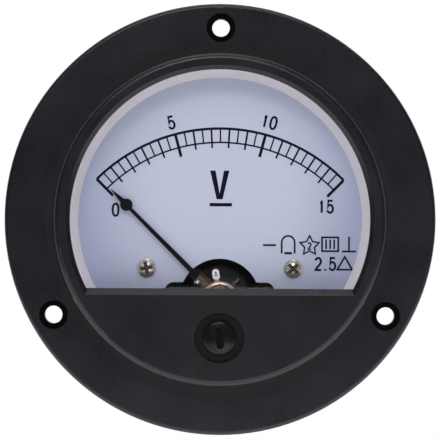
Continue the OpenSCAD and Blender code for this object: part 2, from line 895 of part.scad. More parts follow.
// a slotted screw with a cupped end that a pivot runs in; the cup opens towards -z
module jewel_screw() {
    cup_r = 0.6;
    cup_tip_r = 0.1;
    cup_depth = 0.6;
    slot_w = 0.3;
    slot_depth = 0.5;
    difference() {
        post(jewel_d / 2, 0, jewel_l);
        translate([0, 0, -eps]) cylinder(r1 = cup_r, r2 = cup_tip_r, h = cup_depth);
        bar(-jewel_d, jewel_d, -slot_w / 2, slot_w / 2, jewel_l - slot_depth, jewel_l + cut);
    }
}

module front_jewel_screw() {
    color([0.83, 0.7, 0.4]) at_pivot() translate([0, 0, jewel_back]) jewel_screw();
}

module front_lock_nut() {
    color([0.83, 0.7, 0.4]) at_pivot()
        hex_nut(lock_nut_flats, jewel_d / 2 + thread_gap, lock_nut_back, lock_nut_back + lock_nut_t);
}

// ---- moving system ----

// a hairspring whose outer end points along +y, with the tail that reaches its anchor
module hairspring(z0) {
    translate([0, 0, z0]) rotate([0, 0, 90]) {
        spiral(spring_r, spring_pitch, spring_turns, strip_t, strip_w);
        bar(spring_out - strip_t / 2, ear_at, -strip_t, 0, 0, strip_w);
    }
}

module front_hairspring() {
    color([0.85, 0.75, 0.45]) at_pivot() rotate([0, 0, tab_turn]) hairspring(spring_back);
}

module rear_hairspring() {
    color([0.85, 0.75, 0.45]) at_pivot() hairspring(rear_spring_front - strip_w);
}

module pointer() {
    foot = sqrt(disc_d * disc_d / 4 - tip_w * tip_w / 4) - rooted / 2;
    tip_end_w = 0.12;
    color([0.05, 0.05, 0.06]) at_rest() translate([0, 0, pointer_back]) linear_extrude(pointer_t) {
        polygon([
            [-arm_root_w / 2, paint_from], [arm_root_w / 2, paint_from],
            [arm_tip_w / 2, disc_at], [-arm_tip_w / 2, disc_at]
        ]);
        translate([0, disc_at]) circle(d = disc_d);
        polygon([
            [-tip_w / 2, disc_at + foot], [tip_w / 2, disc_at + foot],
            [tip_end_w / 2, pointer_l], [-tip_end_w / 2, pointer_l]
        ]);
    }
}

// bare stamped cross: hub, the shank under the pointer, two balance arms and the tail
module pointer_cross() {
    color([0.62, 0.6, 0.56]) at_rest() difference() {
        union() {
            post(hub_r, hub_back, hub_front);
            translate([0, 0, cross_back]) linear_extrude(cross_t) {
                translate([-arm_root_w / 2, 0]) square([arm_root_w, paint_from + shank_lap]);
                translate([-balance_w / 2, -tail_l]) square([balance_w, tail_l]);
                translate([-balance_l, -balance_w / 2]) square([2 * balance_l, balance_w]);
                translate(bead_at) circle(bead_r);
            }
        }
        bore(staff_d / 2 + thread_gap, hub_back, hub_front);
    }
}

module solder_bead() {
    color([0.85, 0.85, 0.86]) at_rest()
        translate([bead_at.x, bead_at.y, pointer_back]) dome(bead_r, bead_h);
}

// weights like short tight coils, slid onto the balance arms and the tail
module balance_weights() {
    bore_r = norm([balance_w, cross_t]) / 2 + thread_gap;
    color([0.55, 0.55, 0.55]) at_rest()
        for (place = [[90, side_weight_at], [180, tail_weight_at], [270, side_weight_at]])
            rotate([0, 0, place[0]])
                translate([0, place[1] - weight_l / 2, cross_back + cross_t / 2])
                    rotate([-90, 0, 0]) ring(weight_r, bore_r, 0, weight_l);
}

// half-staff: a base on the coil's end, a staff and a conical point; it stands on z = 0
module half_staff(l) {
    base_r = 1.1;
    base_t = 0.3;
    point_l = 0.4;
    point_r = 0.05;
    post(base_r, 0, base_t);
    post(staff_d / 2, 0, l - point_l);
    translate([0, 0, l - point_l]) cylinder(r1 = staff_d / 2, r2 = point_r, h = point_l);
}

module front_pivot() {
    color([0.6, 0.62, 0.65]) at_rest() translate([0, 0, coil_front])
        half_staff(jewel_back + pivot_reach - coil_front);
}

module rear_pivot() {
    color([0.6, 0.62, 0.65]) at_rest() translate([0, 0, coil_back]) mirror([0, 0, 1])
        half_staff(coil_back - rear_jewel_front + pivot_reach);
}

module spring_collets() {
    color([0.8, 0.65, 0.35]) at_rest() for (z = [collet_back, rear_collet_back])
        ring(collet_r, staff_d / 2 + thread_gap, z, z + collet_h);
}

// a frame round the core, seen along x: half-length l in y, from z0 to z1
module coil_outline(l, z0, z1, round) {
    for (y = [-1, 1], z = [z0 + round, z1 - round]) translate([y * (l - round), z]) circle(round);
    translate([-l, z0 + round]) square([2 * l, z1 - z0 - 2 * round]);
    translate([-l + round, z0]) square([2 * l - 2 * round, z1 - z0]);
}

module coil_layer(inset, t, round, w) {
    l = former_in + inset;
    z0 = core_back - coil_end_gap - inset;
    z1 = core_front + coil_end_gap + inset;
    rotate([90, 0, 90]) translate([0, 0, -w / 2]) linear_extrude(w) difference() {
        coil_outline(l + t, z0 - t, z1 + t, round + t);
        coil_outline(l, z0, z1, round);
    }
}

module coil_former() {
    color([0.75, 0.75, 0.78]) at_rest() coil_layer(0, former_t, 0.2, coil_w);
}

module coil_winding() {
    color([0.45, 0.2, 0.12]) at_rest() coil_layer(former_t, winding_t, 0.45, coil_w);
}

// ---- magnet system and frame ----

module core_magnet() {
    edge = 0.4;
    color([0.22, 0.22, 0.24]) at_pivot() rotate_extrude() polygon([
        [0, core_back], [core_r - edge, core_back], [core_r, core_back + edge],
        [core_r, core_front - edge], [core_r - edge, core_front], [0, core_front]
    ]);
}

// non-magnetic keys that hold the core in the yoke at either side
module core_keys() {
    color([0.7, 0.6, 0.35]) at_pivot() intersection() {
        ring(yoke_in_r - thread_gap, core_r + thread_gap, core_back + key_inset, core_front - key_inset);
        bar(-yoke_r, yoke_r, -key_w / 2, key_w / 2, core_back, core_front);
    }
}

module yoke_ring() {
    color([0.5, 0.5, 0.53]) at_pivot() difference() {
        ring(yoke_r, yoke_in_r, yoke_back, yoke_front);
        mirrored_pair(rear_screw_x)
            post(rear_screw_r + thread_gap, yoke_back - cut, yoke_back + rear_screw_in + tip_gap);
    }
}

// moulded plate that carries the magnet system, the bridge and the dial
module movement_frame() {
    color([0.1, 0.1, 0.11]) upright() difference() {
        union() {
            post(frame_r, frame_back, frame_front);
            at_dial_screws() post(dial_post_r, frame_back, dial_back);
            translate([0, -pivot_drop, 0])
                ring(collar_fit_r + collar_wall, collar_fit_r, frame_back - yoke_hold, frame_back + eps);
        }
        translate([0, -pivot_drop, 0]) {
            bore(coil_hole_r, frame_back, frame_front);
            mirrored_pair(bridge_screw_x) bore(m2_r + thread_gap, frame_back, frame_front);
        }
        at_dial_screws() bore(m2_r + thread_gap, frame_back, dial_back);
        at_case_screws() bore(case_post_r + free_gap, frame_back, frame_front);
        at_frame_screws() bore(frame_screw_r + pass_gap, frame_back, frame_front);
        translate(lead_hole) bore(wire_r + lead_gap, frame_back, frame_front);
    }
}

module frame_screws() {
    color([0.7, 0.7, 0.7]) upright() at_frame_screws() translate([0, 0, frame_front])
        pan_screw(frame_screw_r, frame_t + frame_screw_in, frame_head_r, frame_head_h, 20);
}

// ---- rear bridge ----

module rear_bridge() {
    color([0.7, 0.68, 0.62]) at_pivot() difference() {
        union() {
            bar(-rear_bridge_half, rear_bridge_half, -bridge_w / 2, bridge_w / 2,
                rear_bridge_back, rear_bridge_front);
            for (side = [0, 1]) mirror([side, 0, 0])
                bar(rear_bridge_half - rear_foot, rear_bridge_half, -bridge_w / 2, bridge_w / 2,
                    rear_bridge_back, yoke_back);
        }
        bore(jewel_d / 2 + thread_gap, rear_bridge_back, rear_bridge_front);
        mirrored_pair(rear_screw_x) bore(rear_screw_r + rear_pass_gap, rear_bridge_back, yoke_back);
    }
}

module rear_bridge_screws() {
    color([0.75, 0.74, 0.7]) at_pivot() mirrored_pair(rear_screw_x)
        translate([0, 0, rear_bridge_back]) mirror([0, 0, 1])
            pan_screw(rear_screw_r, yoke_back - rear_bridge_back + rear_screw_in,
                rear_head_r, rear_head_h, 15);
}

// the plate behind the rear bridge whose ear holds the rear hairspring's outer end
module rear_spring_arm() {
    disc_r = 2.4;
    arm_w = 1.8;
    color([0.8, 0.7, 0.5]) at_pivot() difference() {
        union() {
            post(disc_r, rear_arm_back, rear_arm_front);
            bar(-arm_w / 2, arm_w / 2, 0, tab_top, rear_arm_back, rear_arm_front);
            bar(-ear_w / 2, ear_w / 2, ear_at, ear_at + ear_t, rear_arm_front - eps, rear_spring_front);
        }
        bore(jewel_d / 2 + thread_gap, rear_arm_back, rear_arm_front);
    }
}

module rear_jewel_screw() {
    color([0.83, 0.7, 0.4]) at_pivot() translate([0, 0, rear_jewel_front]) mirror([0, 0, 1]) jewel_screw();
}

module rear_lock_nut() {
    color([0.83, 0.7, 0.4]) at_pivot() hex_nut(lock_nut_flats, jewel_d / 2 + thread_gap,
        rear_arm_back - lock_nut_gap - lock_nut_t, rear_arm_back - lock_nut_gap);
}

// ---- rear case ----

module rear_case() {
    color([0.13, 0.13, 0.14]) upright() difference() {
        union() {
            ring(barrel_r, barrel_in_r, wall_back, collar_h);
            ring(collar_r, barrel_in_r, 0, collar_h);
            post(barrel_r - rooted, wall_back, wall_front);
            at_studs() post(pad_r, wall_back - pad_h, wall_back + rooted);
            // hook that goes into the front case's pocket
            bar(-hook_w / 2, hook_w / 2, collar_r - hook_reach, collar_r + hook_reach,
                collar_h - hook_t, collar_h);
            intersection() {
                post(barrel_r - rooted, wall_back, collar_h);
                union() {
                    at_case_screws() post(case_post_r, wall_back, collar_h);
                    at_frame_screws()
                        bar(-rib_depth, far, -case_rib_w / 2, case_rib_w / 2, wall_back, frame_back);
                }
            }
        }
        at_case_screws() {
            post(case_head_r + free_gap, wall_back - cut, case_seat);
            bore(case_screw_d / 2 + pass_gap, case_seat, collar_h);
        }
        at_frame_screws()
            post(frame_screw_r + thread_gap, frame_back - frame_screw_in - tip_gap, frame_back + cut);
        at_studs() bore(stud_r + pass_gap, wall_back - pad_h, wall_front);
    }
}

module case_screws() {
    color([0.7, 0.7, 0.7]) upright() at_case_screws() translate([0, 0, case_seat])
        mirror([0, 0, 1]) pan_screw(case_screw_d / 2, face_back - case_seat - tip_gap,
            case_head_r, case_head_h, 25);
}

// ---- terminals ----

// a stud with a hexagon head inside the rear wall
module stud(side) {
    tip = wall_back - stud_l;
    edge = 0.5;
    color([0.8, 0.7, 0.42]) upright() translate([side * stud_x, 0, 0]) {
        translate([0, 0, tip]) cylinder(r1 = stud_r - edge, r2 = stud_r, h = edge);
        post(stud_r, tip + edge, stud_in);
        translate([0, 0, wall_front])
            cylinder(r = nut_flats / 2 / cos(30), h = stud_head_h, $fn = 6);
    }
}

module positive_stud() stud(1);

module negative_stud() stud(-1);

module stud_washers() {
    color([0.75, 0.75, 0.76]) upright() at_studs()
        ring(washer_d / 2, stud_r + pass_gap, washer_front - washer_t, washer_front);
}

module stud_nuts() {
    color([0.8, 0.7, 0.42]) upright() at_studs()
        hex_nut(nut_flats, stud_r + thread_gap, nut_front - nut_t, nut_front);
}

module wire_washers() {
    color([0.75, 0.75, 0.76]) upright() at_studs()
        ring(washer_d / 2, stud_r + pass_gap, wire_washer_front - washer_t, wire_washer_front);
}

// split washers, pressed flat
module spring_washers() {
    split = 0.5;
    band = 1.6;
    color([0.6, 0.6, 0.62]) upright() at_studs() difference() {
        ring(stud_r + band, stud_r + pass_gap, spring_washer_front - spring_washer_t,
            spring_washer_front);
        translate([0, 0, spring_washer_front - spring_washer_t / 2]) rotate([0, 30, 0])
            bar(-split / 2, split / 2, 0, stud_r + band + cut, -2 * cut, 2 * cut);
    }
}

module wire_nuts() {
    color([0.8, 0.7, 0.42]) upright() at_studs()
        hex_nut(nut_flats, stud_r + thread_gap, wire_nut_front - nut_t, wire_nut_front);
}

// solder lugs inside, whose tails point to the middle
module solder_lugs() {
    tail_w = 3;
    color([0.78, 0.77, 0.72]) upright() for (side = [0, 1]) mirror([side, 0, 0])
        translate([stud_x, 0, 0]) difference() {
            union() {
                post(nut_flats / 2, lug_front - lug_t, lug_front);
                bar(-lug_l, 0, -tail_w / 2, tail_w / 2, lug_front - lug_t, lug_front);
            }
            bore(stud_r + pass_gap, lug_front - lug_t, lug_front);
        }
}

module lug_nuts() {
    color([0.8, 0.7, 0.42]) upright() at_studs()
        hex_nut(nut_flats, stud_r + thread_gap, lug_front, lug_front + inner_nut_t);
}

// ---- inner wiring ----

// limits the coil's current; its right lead is soldered to the positive lug
module series_resistor() {
    cap_l = 1.6;
    body_r = resistor_r * 0.88;
    color([0.72, 0.6, 0.45]) upright() {
        translate([0, resistor_y, resistor_z]) rotate([0, 90, 0]) {
            post(body_r, -resistor_l / 2, resistor_l / 2);
            for (end = [0, 1]) mirror([0, 0, end]) post(resistor_r, resistor_l / 2 - cap_l, resistor_l / 2);
        }
        wire([
            [resistor_l / 2 - eps, resistor_y, resistor_z], [solder_x, resistor_y, resistor_z],
            [solder_x, 0, lug_front + bend], [solder_x, 0, lug_front]
        ], wire_r);
        wire([[-resistor_l / 2 + eps, resistor_y, resistor_z], [-splice_x, resistor_y, resistor_z]], wire_r);
    }
}

// from the resistor to the rear hairspring's arm
module positive_lead() {
    dip = resistor_y - pivot_drop / 2;
    color([0.65, 0.12, 0.1]) upright() wire([
        [-splice_x, resistor_y, resistor_z], [-splice_x - bend, resistor_y, resistor_z],
        [-splice_x - 2 * bend, resistor_y - 2 * bend, resistor_z],
        [-splice_x, dip, rear_arm_back - bend],
        [0, tab_top - pivot_drop - 2 * wire_r, rear_arm_back - wire_r]
    ], wire_r);
}

// from the negative lug through the movement frame to the front bridge's foot
module negative_lead() {
    foot_x = -bridge_span / 2 - foot_l + wire_r;
    color([0.12, 0.12, 0.14]) upright() wire([
        [-solder_x, 0, lug_front], [-solder_x, 0, lug_front + bend],
        [-solder_x - 2 * bend, -3 * bend, lug_front + 4 * bend],
        [lead_hole.x, lead_hole.y, yoke_back - 2 * bend], [lead_hole.x, lead_hole.y, frame_front + bend],
        [foot_x, bend - pivot_drop, frame_front + bridge_t + wire_r]
    ], wire_r);
}

front_case();
window_glass();
dial_surround();
dial_plate();
scale_print();
dial_screw_left();
dial_screw_right();
zero_screw();
zero_clip();
zero_lever();
front_bridge();
front_bridge_screws();
front_jewel_screw();
front_lock_nut();
front_hairspring();
pointer();
pointer_cross();
solder_bead();
balance_weights();
front_pivot();
rear_pivot();
spring_collets();
coil_former();
coil_winding();
core_magnet();
core_keys();
yoke_ring();
movement_frame();
frame_screws();
rear_bridge();
rear_bridge_screws();
rear_spring_arm();
rear_hairspring();
rear_jewel_screw();
rear_lock_nut();
rear_case();
case_screws();
positive_stud();
negative_stud();
stud_washers();
stud_nuts();
wire_washers();
spring_washers();
wire_nuts();
solder_lugs();
lug_nuts();
series_resistor();
positive_lead();
negative_lead();
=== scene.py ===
import bpy
import math
import numpy as np
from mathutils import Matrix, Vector


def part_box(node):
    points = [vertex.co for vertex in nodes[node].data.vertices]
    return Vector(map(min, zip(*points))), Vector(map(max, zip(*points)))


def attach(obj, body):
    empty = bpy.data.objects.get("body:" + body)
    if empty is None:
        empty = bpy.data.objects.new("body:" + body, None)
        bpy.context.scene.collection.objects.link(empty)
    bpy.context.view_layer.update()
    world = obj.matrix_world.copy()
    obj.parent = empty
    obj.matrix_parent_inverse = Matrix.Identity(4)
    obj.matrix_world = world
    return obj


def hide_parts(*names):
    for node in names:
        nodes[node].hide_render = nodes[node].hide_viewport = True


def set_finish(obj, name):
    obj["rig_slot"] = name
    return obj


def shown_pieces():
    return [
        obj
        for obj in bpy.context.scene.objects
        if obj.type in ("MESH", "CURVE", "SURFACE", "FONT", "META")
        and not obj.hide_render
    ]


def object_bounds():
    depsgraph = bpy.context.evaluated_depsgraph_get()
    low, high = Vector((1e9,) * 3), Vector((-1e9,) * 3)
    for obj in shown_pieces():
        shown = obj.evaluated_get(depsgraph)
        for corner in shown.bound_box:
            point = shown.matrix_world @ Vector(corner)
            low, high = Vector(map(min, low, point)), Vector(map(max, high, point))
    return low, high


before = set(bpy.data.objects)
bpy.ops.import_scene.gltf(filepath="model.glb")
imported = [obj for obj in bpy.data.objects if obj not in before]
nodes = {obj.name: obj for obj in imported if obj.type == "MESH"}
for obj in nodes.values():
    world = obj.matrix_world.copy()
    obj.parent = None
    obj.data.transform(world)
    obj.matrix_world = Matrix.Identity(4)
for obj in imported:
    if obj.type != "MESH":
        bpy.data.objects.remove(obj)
cadLow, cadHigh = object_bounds()
print("frame loaded:", len(nodes), "nodes")
mm = 0.001


# surfaces: points worked out on a grid of two parameters

def meshPiece(name, points, faces, body, slotName, smooth=True):
    # one mesh at the origin, riding on a body and taking its finish from a slot
    mesh = bpy.data.meshes.new(name)
    mesh.from_pydata(points.tolist(), [], faces)
    mesh.validate()
    mesh.polygons.foreach_set("use_smooth", np.full(len(mesh.polygons), smooth))
    mesh.update()
    piece = bpy.data.objects.new(name, mesh)
    bpy.context.scene.collection.objects.link(piece)
    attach(piece, body)
    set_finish(piece, slotName)
    return piece


def gridFaces(rows, columns, closedRows=False, closedColumns=False):
    # quads between neighbouring rows and columns; a closed direction joins its last line to its first
    row, column = np.meshgrid(np.arange(rows if closedRows else rows - 1),
                              np.arange(columns if closedColumns else columns - 1), indexing="ij")
    nextRow, nextColumn = (row + 1) % rows, (column + 1) % columns
    quads = np.stack([row * columns + column, row * columns + nextColumn,
                      nextRow * columns + nextColumn, nextRow * columns + column], -1)
    return quads.reshape(-1, 4).tolist()


def turnedOver(faces):
    # the same faces, looking the other way
    return [face[::-1] for face in faces]


def joinParts(parts):
    # several (points, faces) as one, each part's face numbers moved past the points before it
    points, faces, start = [], [], 0
    for partPoints, partFaces in parts:
        points.append(partPoints)
        faces += [[corner + start for corner in face] for face in partFaces]
        start += len(partPoints)
    return np.vstack(points), faces


def flatStroke(path, width, low, high, closed=False, sharpest=0.35):
    # a printed stroke: the path's points moved half the width to each side along the mitred normal,
    # at two heights, which gives a thin closed band of four edges along the path
    path = np.asarray(path, float)
    ahead = np.roll(path, -1, 0) - path
    behind = path - np.roll(path, 1, 0)
    if not closed:
        ahead[-1], behind[0] = behind[-1], ahead[0]
    ahead /= np.linalg.norm(ahead, axis=1)[:, None]
    behind /= np.linalg.norm(behind, axis=1)[:, None]
    normal = np.stack([-(ahead + behind)[:, 1], (ahead + behind)[:, 0]], 1)
    normal /= np.linalg.norm(normal, axis=1)[:, None]
    side = np.stack([-ahead[:, 1], ahead[:, 0]], 1)
    reach = width / 2 / np.maximum((normal * side).sum(1), sharpest)
    left, right = path + normal * reach[:, None], path - normal * reach[:, None]
    bottom, top = np.full(len(path), low), np.full(len(path), high)
    rings = np.stack([np.c_[left, bottom], np.c_[right, bottom], np.c_[right, top], np.c_[left, top]], 1)
    faces = turnedOver(gridFaces(len(path), 4, closedRows=closed, closedColumns=True))
    if not closed:
        last = (len(path) - 1) * 4
        faces += [[0, 1, 2, 3], [last + 3, last + 2, last + 1, last]]
    return rings.reshape(-1, 3), faces


def plate(outline, low, high):
    # an outline drawn counter-clockwise, as a thin closed plate between two heights
    outline = np.asarray(outline, float)
    count = len(outline)
    points = np.vstack([np.c_[outline, np.full(count, low)], np.c_[outline, np.full(count, high)]])
    sides = gridFaces(2, count, closedColumns=True)
    return points, sides + [list(range(count))[::-1], list(range(count, 2 * count))]


def rectangle(left, right, low, high):
    return [(left, low), (right, low), (right, high), (left, high)]


def arcPath(middle, radii, start, end, count):
    # points on an ellipse about its middle from one angle to another, in degrees
    angles = np.radians(np.linspace(start, end, count))
    return np.c_[middle[0] + radii[0] * np.cos(angles), middle[1] + radii[1] * np.sin(angles)]


def toRow(points):
    # from the dial's own x, y and height towards the viewer, in mm, to the row frame in metres
    return np.c_[points[:, 0], -points[:, 2], points[:, 1]] * mm


# dial print, in mm from the axis of the case: numerals, unit and instrument symbols

dialPrint = dict(
    numeralHeight=2.98, numeralWidth=1.66, numeralStroke=0.46, numeralGap=0.42,
    narrow={".": 0.3, "1": 0.72},  # shares of the usual width
    ovalPowers=(0.86, 0.9), inkFrom=0.004, inkTo=0.035,
    # text, x, y and turn in degrees
    numerals=[("0", -21.87, 1.94, 0), ("5", -10.3, 20.22, 13), ("10", 10.3, 20.43, -13),
              ("15", 22.24, 2.79, 0), ("2.5", 22.1, -9.2, 0)],
)
unitMark = dict(middle=-0.1, foot=4.25, width=4.02, height=5.99, stroke=1.12, footShare=0.56,
                barMiddle=0.15, barWidth=4.65, barLow=2.75, barHigh=3.45)
dialSymbols = dict(
    stroke=0.37,
    directCurrent=dict(left=9.03, right=11.75, y=-5.31, bold=1.1),
    movingCoil=dict(crownMiddle=(14.3, -4.75), crownRadii=(1.36, 1.4), legLeft=12.95, legRight=15.66,
                    feet=-7.05, barLeft=13.5, barRight=15.12, barY=-6.98, bold=1.3),
    testVoltage=dict(middle=(18.77, -5.4), outer=2.1, inner=1.08, bold=0.85,
                     text="2", textDrop=0.05, textHeight=1.62, textStroke=0.3),
    fieldClass=dict(left=21.38, right=24.78, low=-6.5, high=-3.62,
                    bars=(22.23, 23.08, 23.93), barLow=-6.05, barHigh=-4.08, bold=0.95),
    upright=dict(left=25.55, right=28.5, foot=-6.55, post=27.03, postLow=-6.45, postHigh=-3.45),
    accuracy=dict(left=24.6, right=27.72, low=-10.36, tip=(26.16, -7.7)),
)


def glyphStrokes(character):
    # each character as centre lines in a box one unit wide and one high: (points, closed)
    if character == "0":
        angles = np.radians(np.linspace(0, 360, 40, endpoint=False))
        across, up = np.cos(angles), np.sin(angles)
        acrossPower, upPower = dialPrint["ovalPowers"]
        oval = np.c_[np.sign(across) * np.abs(across) ** acrossPower, np.sign(up) * np.abs(up) ** upPower]
        return [(0.5 + 0.5 * oval, True)]
    if character == "1":
        return [([[0.62, 0], [0.62, 1.0]], False), ([[0.2, 0.74], [0.45, 0.8], [0.64, 1.0]], False)]
    if character == "2":
        bowl = arcPath((0.5, 0.71), (0.47, 0.29), 165, -25, 18)
        return [(np.vstack([bowl, [[0.72, 0.43], [0.3, 0.2], [0.06, 0.0], [1.0, 0.0]]]), False)]
    if character == "5":
        bowl = arcPath((0.47, 0.33), (0.5, 0.33), 130, -160, 26)
        return [(np.vstack([[[0.93, 1.0], [0.2, 1.0], [0.09, 0.5]], bowl]), False)]
    return [([[0.5, -0.04], [0.5, 0.08]], False)]  # a decimal point


def numeralParts(text, x, y, turn, height, stroke, low, high):
    # the characters' centre lines side by side, scaled to the height, turned and moved to their place
    share = height / dialPrint["numeralHeight"]
    widths = [dialPrint["numeralWidth"] * share * dialPrint["narrow"].get(letter, 1) for letter in text]
    gap = dialPrint["numeralGap"] * share
    start = -(sum(widths) + gap * (len(text) - 1)) / 2
    cosine, sine = math.cos(math.radians(turn)), math.sin(math.radians(turn))
    parts = []
    for character, width in zip(text, widths):
        for path, closed in glyphStrokes(character):
            path = np.asarray(path, float)
            across = start + stroke / 2 + path[:, 0] * (width - stroke)
            up = -height / 2 + stroke / 2 + path[:, 1] * (height - stroke)
            placed = np.c_[x + across * cosine - up * sine, y + across * sine + up * cosine]
            parts.append(flatStroke(placed, stroke, low, high, closed))
        start += width + gap
    return parts


def unitOutlines():
    # a letter with two slanting limbs, over a flat bar
    spec = unitMark
    middle, foot, half = spec["middle"], spec["foot"], spec["width"] / 2
    height, stroke = spec["height"], spec["stroke"]
    toe = stroke * spec["footShare"]
    letter = [(-half, height), (-toe, 0), (toe, 0), (half, height), (half - stroke, height),
              (0, stroke), (-half + stroke, height)]
    barLeft = spec["barMiddle"] - spec["barWidth"] / 2
    bar = rectangle(barLeft, barLeft + spec["barWidth"], spec["barLow"], spec["barHigh"])
    return [[(middle + x, foot + y) for x, y in letter], bar]


def symbolStrokes():
    # each instrument symbol as centre lines: (points, share of the stroke, closed)
    direct = dialSymbols["directCurrent"]
    strokes = [([(direct["left"], direct["y"]), (direct["right"], direct["y"])], direct["bold"], False)]
    # moving coil with a permanent magnet: a tall arch with its armature between the feet
    coil = dialSymbols["movingCoil"]
    crown = arcPath(coil["crownMiddle"], coil["crownRadii"], 180, 0, 20)
    arch = np.vstack([[[coil["legLeft"], coil["feet"]]], crown, [[coil["legRight"], coil["feet"]]]])
    armature = [(coil["barLeft"], coil["barY"]), (coil["barRight"], coil["barY"])]
    strokes += [(arch, 1, False), (armature, coil["bold"], False)]
    # test voltage: a five-pointed star, its points and hollows at two distances from the middle
    test = dialSymbols["testVoltage"]
    turns = np.arange(10)
    reach = np.where(turns % 2 == 0, test["outer"], test["inner"])
    angles = np.radians(90 + 36 * turns)
    star = np.c_[test["middle"][0] + reach * np.cos(angles), test["middle"][1] + reach * np.sin(angles)]
    strokes.append((star, test["bold"], True))
    # protection from outside fields: three bars in a box
    field = dialSymbols["fieldClass"]
    strokes.append((rectangle(field["left"], field["right"], field["low"], field["high"]), 1, True))
    for x in field["bars"]:
        strokes.append(([(x, field["barLow"]), (x, field["barHigh"])], field["bold"], False))
    # upright use: a post on a level line
    upright = dialSymbols["upright"]
    level = [(upright["left"], upright["foot"]), (upright["right"], upright["foot"])]
    post = [(upright["post"], upright["postLow"]), (upright["post"], upright["postHigh"])]
    strokes += [(level, 1, False), (post, 1, False)]
    # the triangle beside the accuracy class
    accuracy = dialSymbols["accuracy"]
    triangle = [(accuracy["left"], accuracy["low"]), (accuracy["right"], accuracy["low"]), accuracy["tip"]]
    return strokes + [(triangle, 1, True)]


def makeDialPrint():
    spec = dialPrint
    dialFront = -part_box("dial_plate")[0].y / mm
    low, high = dialFront + spec["inkFrom"], dialFront + spec["inkTo"]

    def printed(name, parts):
        points, faces = joinParts(parts)
        meshPiece(name, toRow(points), faces, "case", "print_ink", smooth=False)

    numerals = []
    for text, x, y, turn in spec["numerals"]:
        numerals += numeralParts(text, x, y, turn, spec["numeralHeight"], spec["numeralStroke"], low, high)
    printed("dialNumerals", numerals)
    printed("dialUnitMark", [plate(outline, low, high) for outline in unitOutlines()])
    symbols = [flatStroke(path, dialSymbols["stroke"] * share, low, high, closed)
               for path, share, closed in symbolStrokes()]
    test = dialSymbols["testVoltage"]
    x, y = test["middle"]
    symbols += numeralParts(test["text"], x, y - test["textDrop"], 0, test["textHeight"], test["textStroke"],
                            low, high)
    printed("dialSymbols", symbols)


makeDialPrint()
print("dial print made")


# terminals, in mm: studs with a rolled thread and a hexagonal head

studThread = dict(
    diameter=4.0, pitch=0.7, depth=0.43, flankSteepness=2.4, crestFlat=0.1, ringsPerPitch=8, turnSteps=40,
    insideHead=0.2, startAfter=1.4, fadeOver=0.6, tipBevel=0.5,
    headFlats=7.0, headHeight=2.0, headEdge=0.25, sharpAngle=35,
)


def threadedShank(middle, root, tip):
    # the radius goes in and out as a triangle wave of the height plus the angle's share of a pitch;
    # the grid's two parameters are the height and the angle, and the tip and root fade the thread out
    spec = studThread
    heights = np.arange(root, tip + 1e-6, spec["pitch"] / spec["ringsPerPitch"])
    heights[-1] = tip  # the last ring lies on the tip
    steps = spec["turnSteps"]
    height, angle = np.meshgrid(heights, np.linspace(0, 2 * math.pi, steps, endpoint=False), indexing="ij")
    along = (height / spec["pitch"] + angle / (2 * math.pi)) % 1.0
    wave = np.clip(np.abs(along - 0.5) * spec["flankSteepness"] - spec["crestFlat"], 0, 1)
    fade = np.clip((height - root - spec["startAfter"]) / spec["fadeOver"], 0, 1)
    bevel = np.clip(1 - (tip - height) / spec["tipBevel"], 0, 1)
    crest = spec["diameter"] / 2
    radius = np.minimum(crest - spec["depth"] * wave * fade, crest - spec["depth"] * bevel)
    rings = np.stack([middle + radius * np.cos(angle), height, radius * np.sin(angle)], -1)
    # both ends close on a middle point
    points = np.vstack([rings.reshape(-1, 3), [[middle, tip, 0], [middle, root, 0]]])
    tipPoint, rootPoint = len(points) - 2, len(points) - 1
    corner = np.arange(steps)
    following = (corner + 1) % steps
    last = tipPoint - steps
    faces = gridFaces(len(heights), steps, closedColumns=True)
    faces += np.stack([last + corner, last + following, np.full(steps, tipPoint)], 1).tolist()
    faces += np.stack([following, corner, np.full(steps, rootPoint)], 1).tolist()
    return points, faces


def hexagonHead(middle, low, high, nearAxis=0.001):
    # a profile of radius and height at six angles, closed by the small hexagons near the axis
    spec = studThread
    reach = spec["headFlats"] / 2 / math.cos(math.pi / 6)
    profile = np.array([(nearAxis, low), (reach - spec["headEdge"], low), (reach, low + spec["headEdge"]),
                        (reach, high), (nearAxis, high)])
    radius, height = profile[:, :1], profile[:, 1:]
    angles = np.arange(6) * math.pi / 3
    rings = np.stack([middle + radius * np.cos(angles), height.repeat(6, 1), radius * np.sin(angles)], -1)
    faces = gridFaces(len(profile), 6, closedColumns=True)
    first, last = list(range(6)), list(range(len(profile) * 6 - 6, len(profile) * 6))
    return rings.reshape(-1, 3), faces + [first[::-1], last]


def threadedStud(name, node):
    low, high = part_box(node)
    middle = (low.x + high.x) / 2 / mm
    headLow = low.y / mm
    headHigh = headLow + studThread["headHeight"]
    shank = threadedShank(middle, headHigh - studThread["insideHead"], high.y / mm)
    points, faces = joinParts([shank, hexagonHead(middle, headLow, headHigh)])
    piece = meshPiece(name, points * mm, turnedOver(faces), "case", "brass_parts")
    piece.data.set_sharp_from_angle(angle=math.radians(studThread["sharpAngle"]))
    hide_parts(node)


threadedStud("positiveStudThreaded", "positive_stud")
threadedStud("negativeStudThreaded", "negative_stud")
print("threaded studs made")


# coil, in mm: turns of fine wire, side by side

coilTurns = dict(width=2.5, wirePitch=0.21, wireRise=0.07, ringsPerTurn=6, corner=1.4, innerCorner=0.45,
                 gap=0.01, turnDegrees=135, sharpAngle=50)


def roundedRings(halfWidth, front, back, corner):
    # a rounded rectangle for each row of the sizes, seven points to a corner
    quarter = np.radians(np.linspace(0, 90, 7))
    across, along = [], []
    for sideways, backwards, first in ((1, 1, 0), (-1, 1, 90), (-1, -1, 180), (1, -1, 270)):
        angles = quarter + math.radians(first)
        across.append(sideways * (halfWidth - corner) + corner * np.cos(angles))
        along.append((back - corner if backwards > 0 else front + corner) + corner * np.sin(angles))
    return np.hstack(across), np.hstack(along)


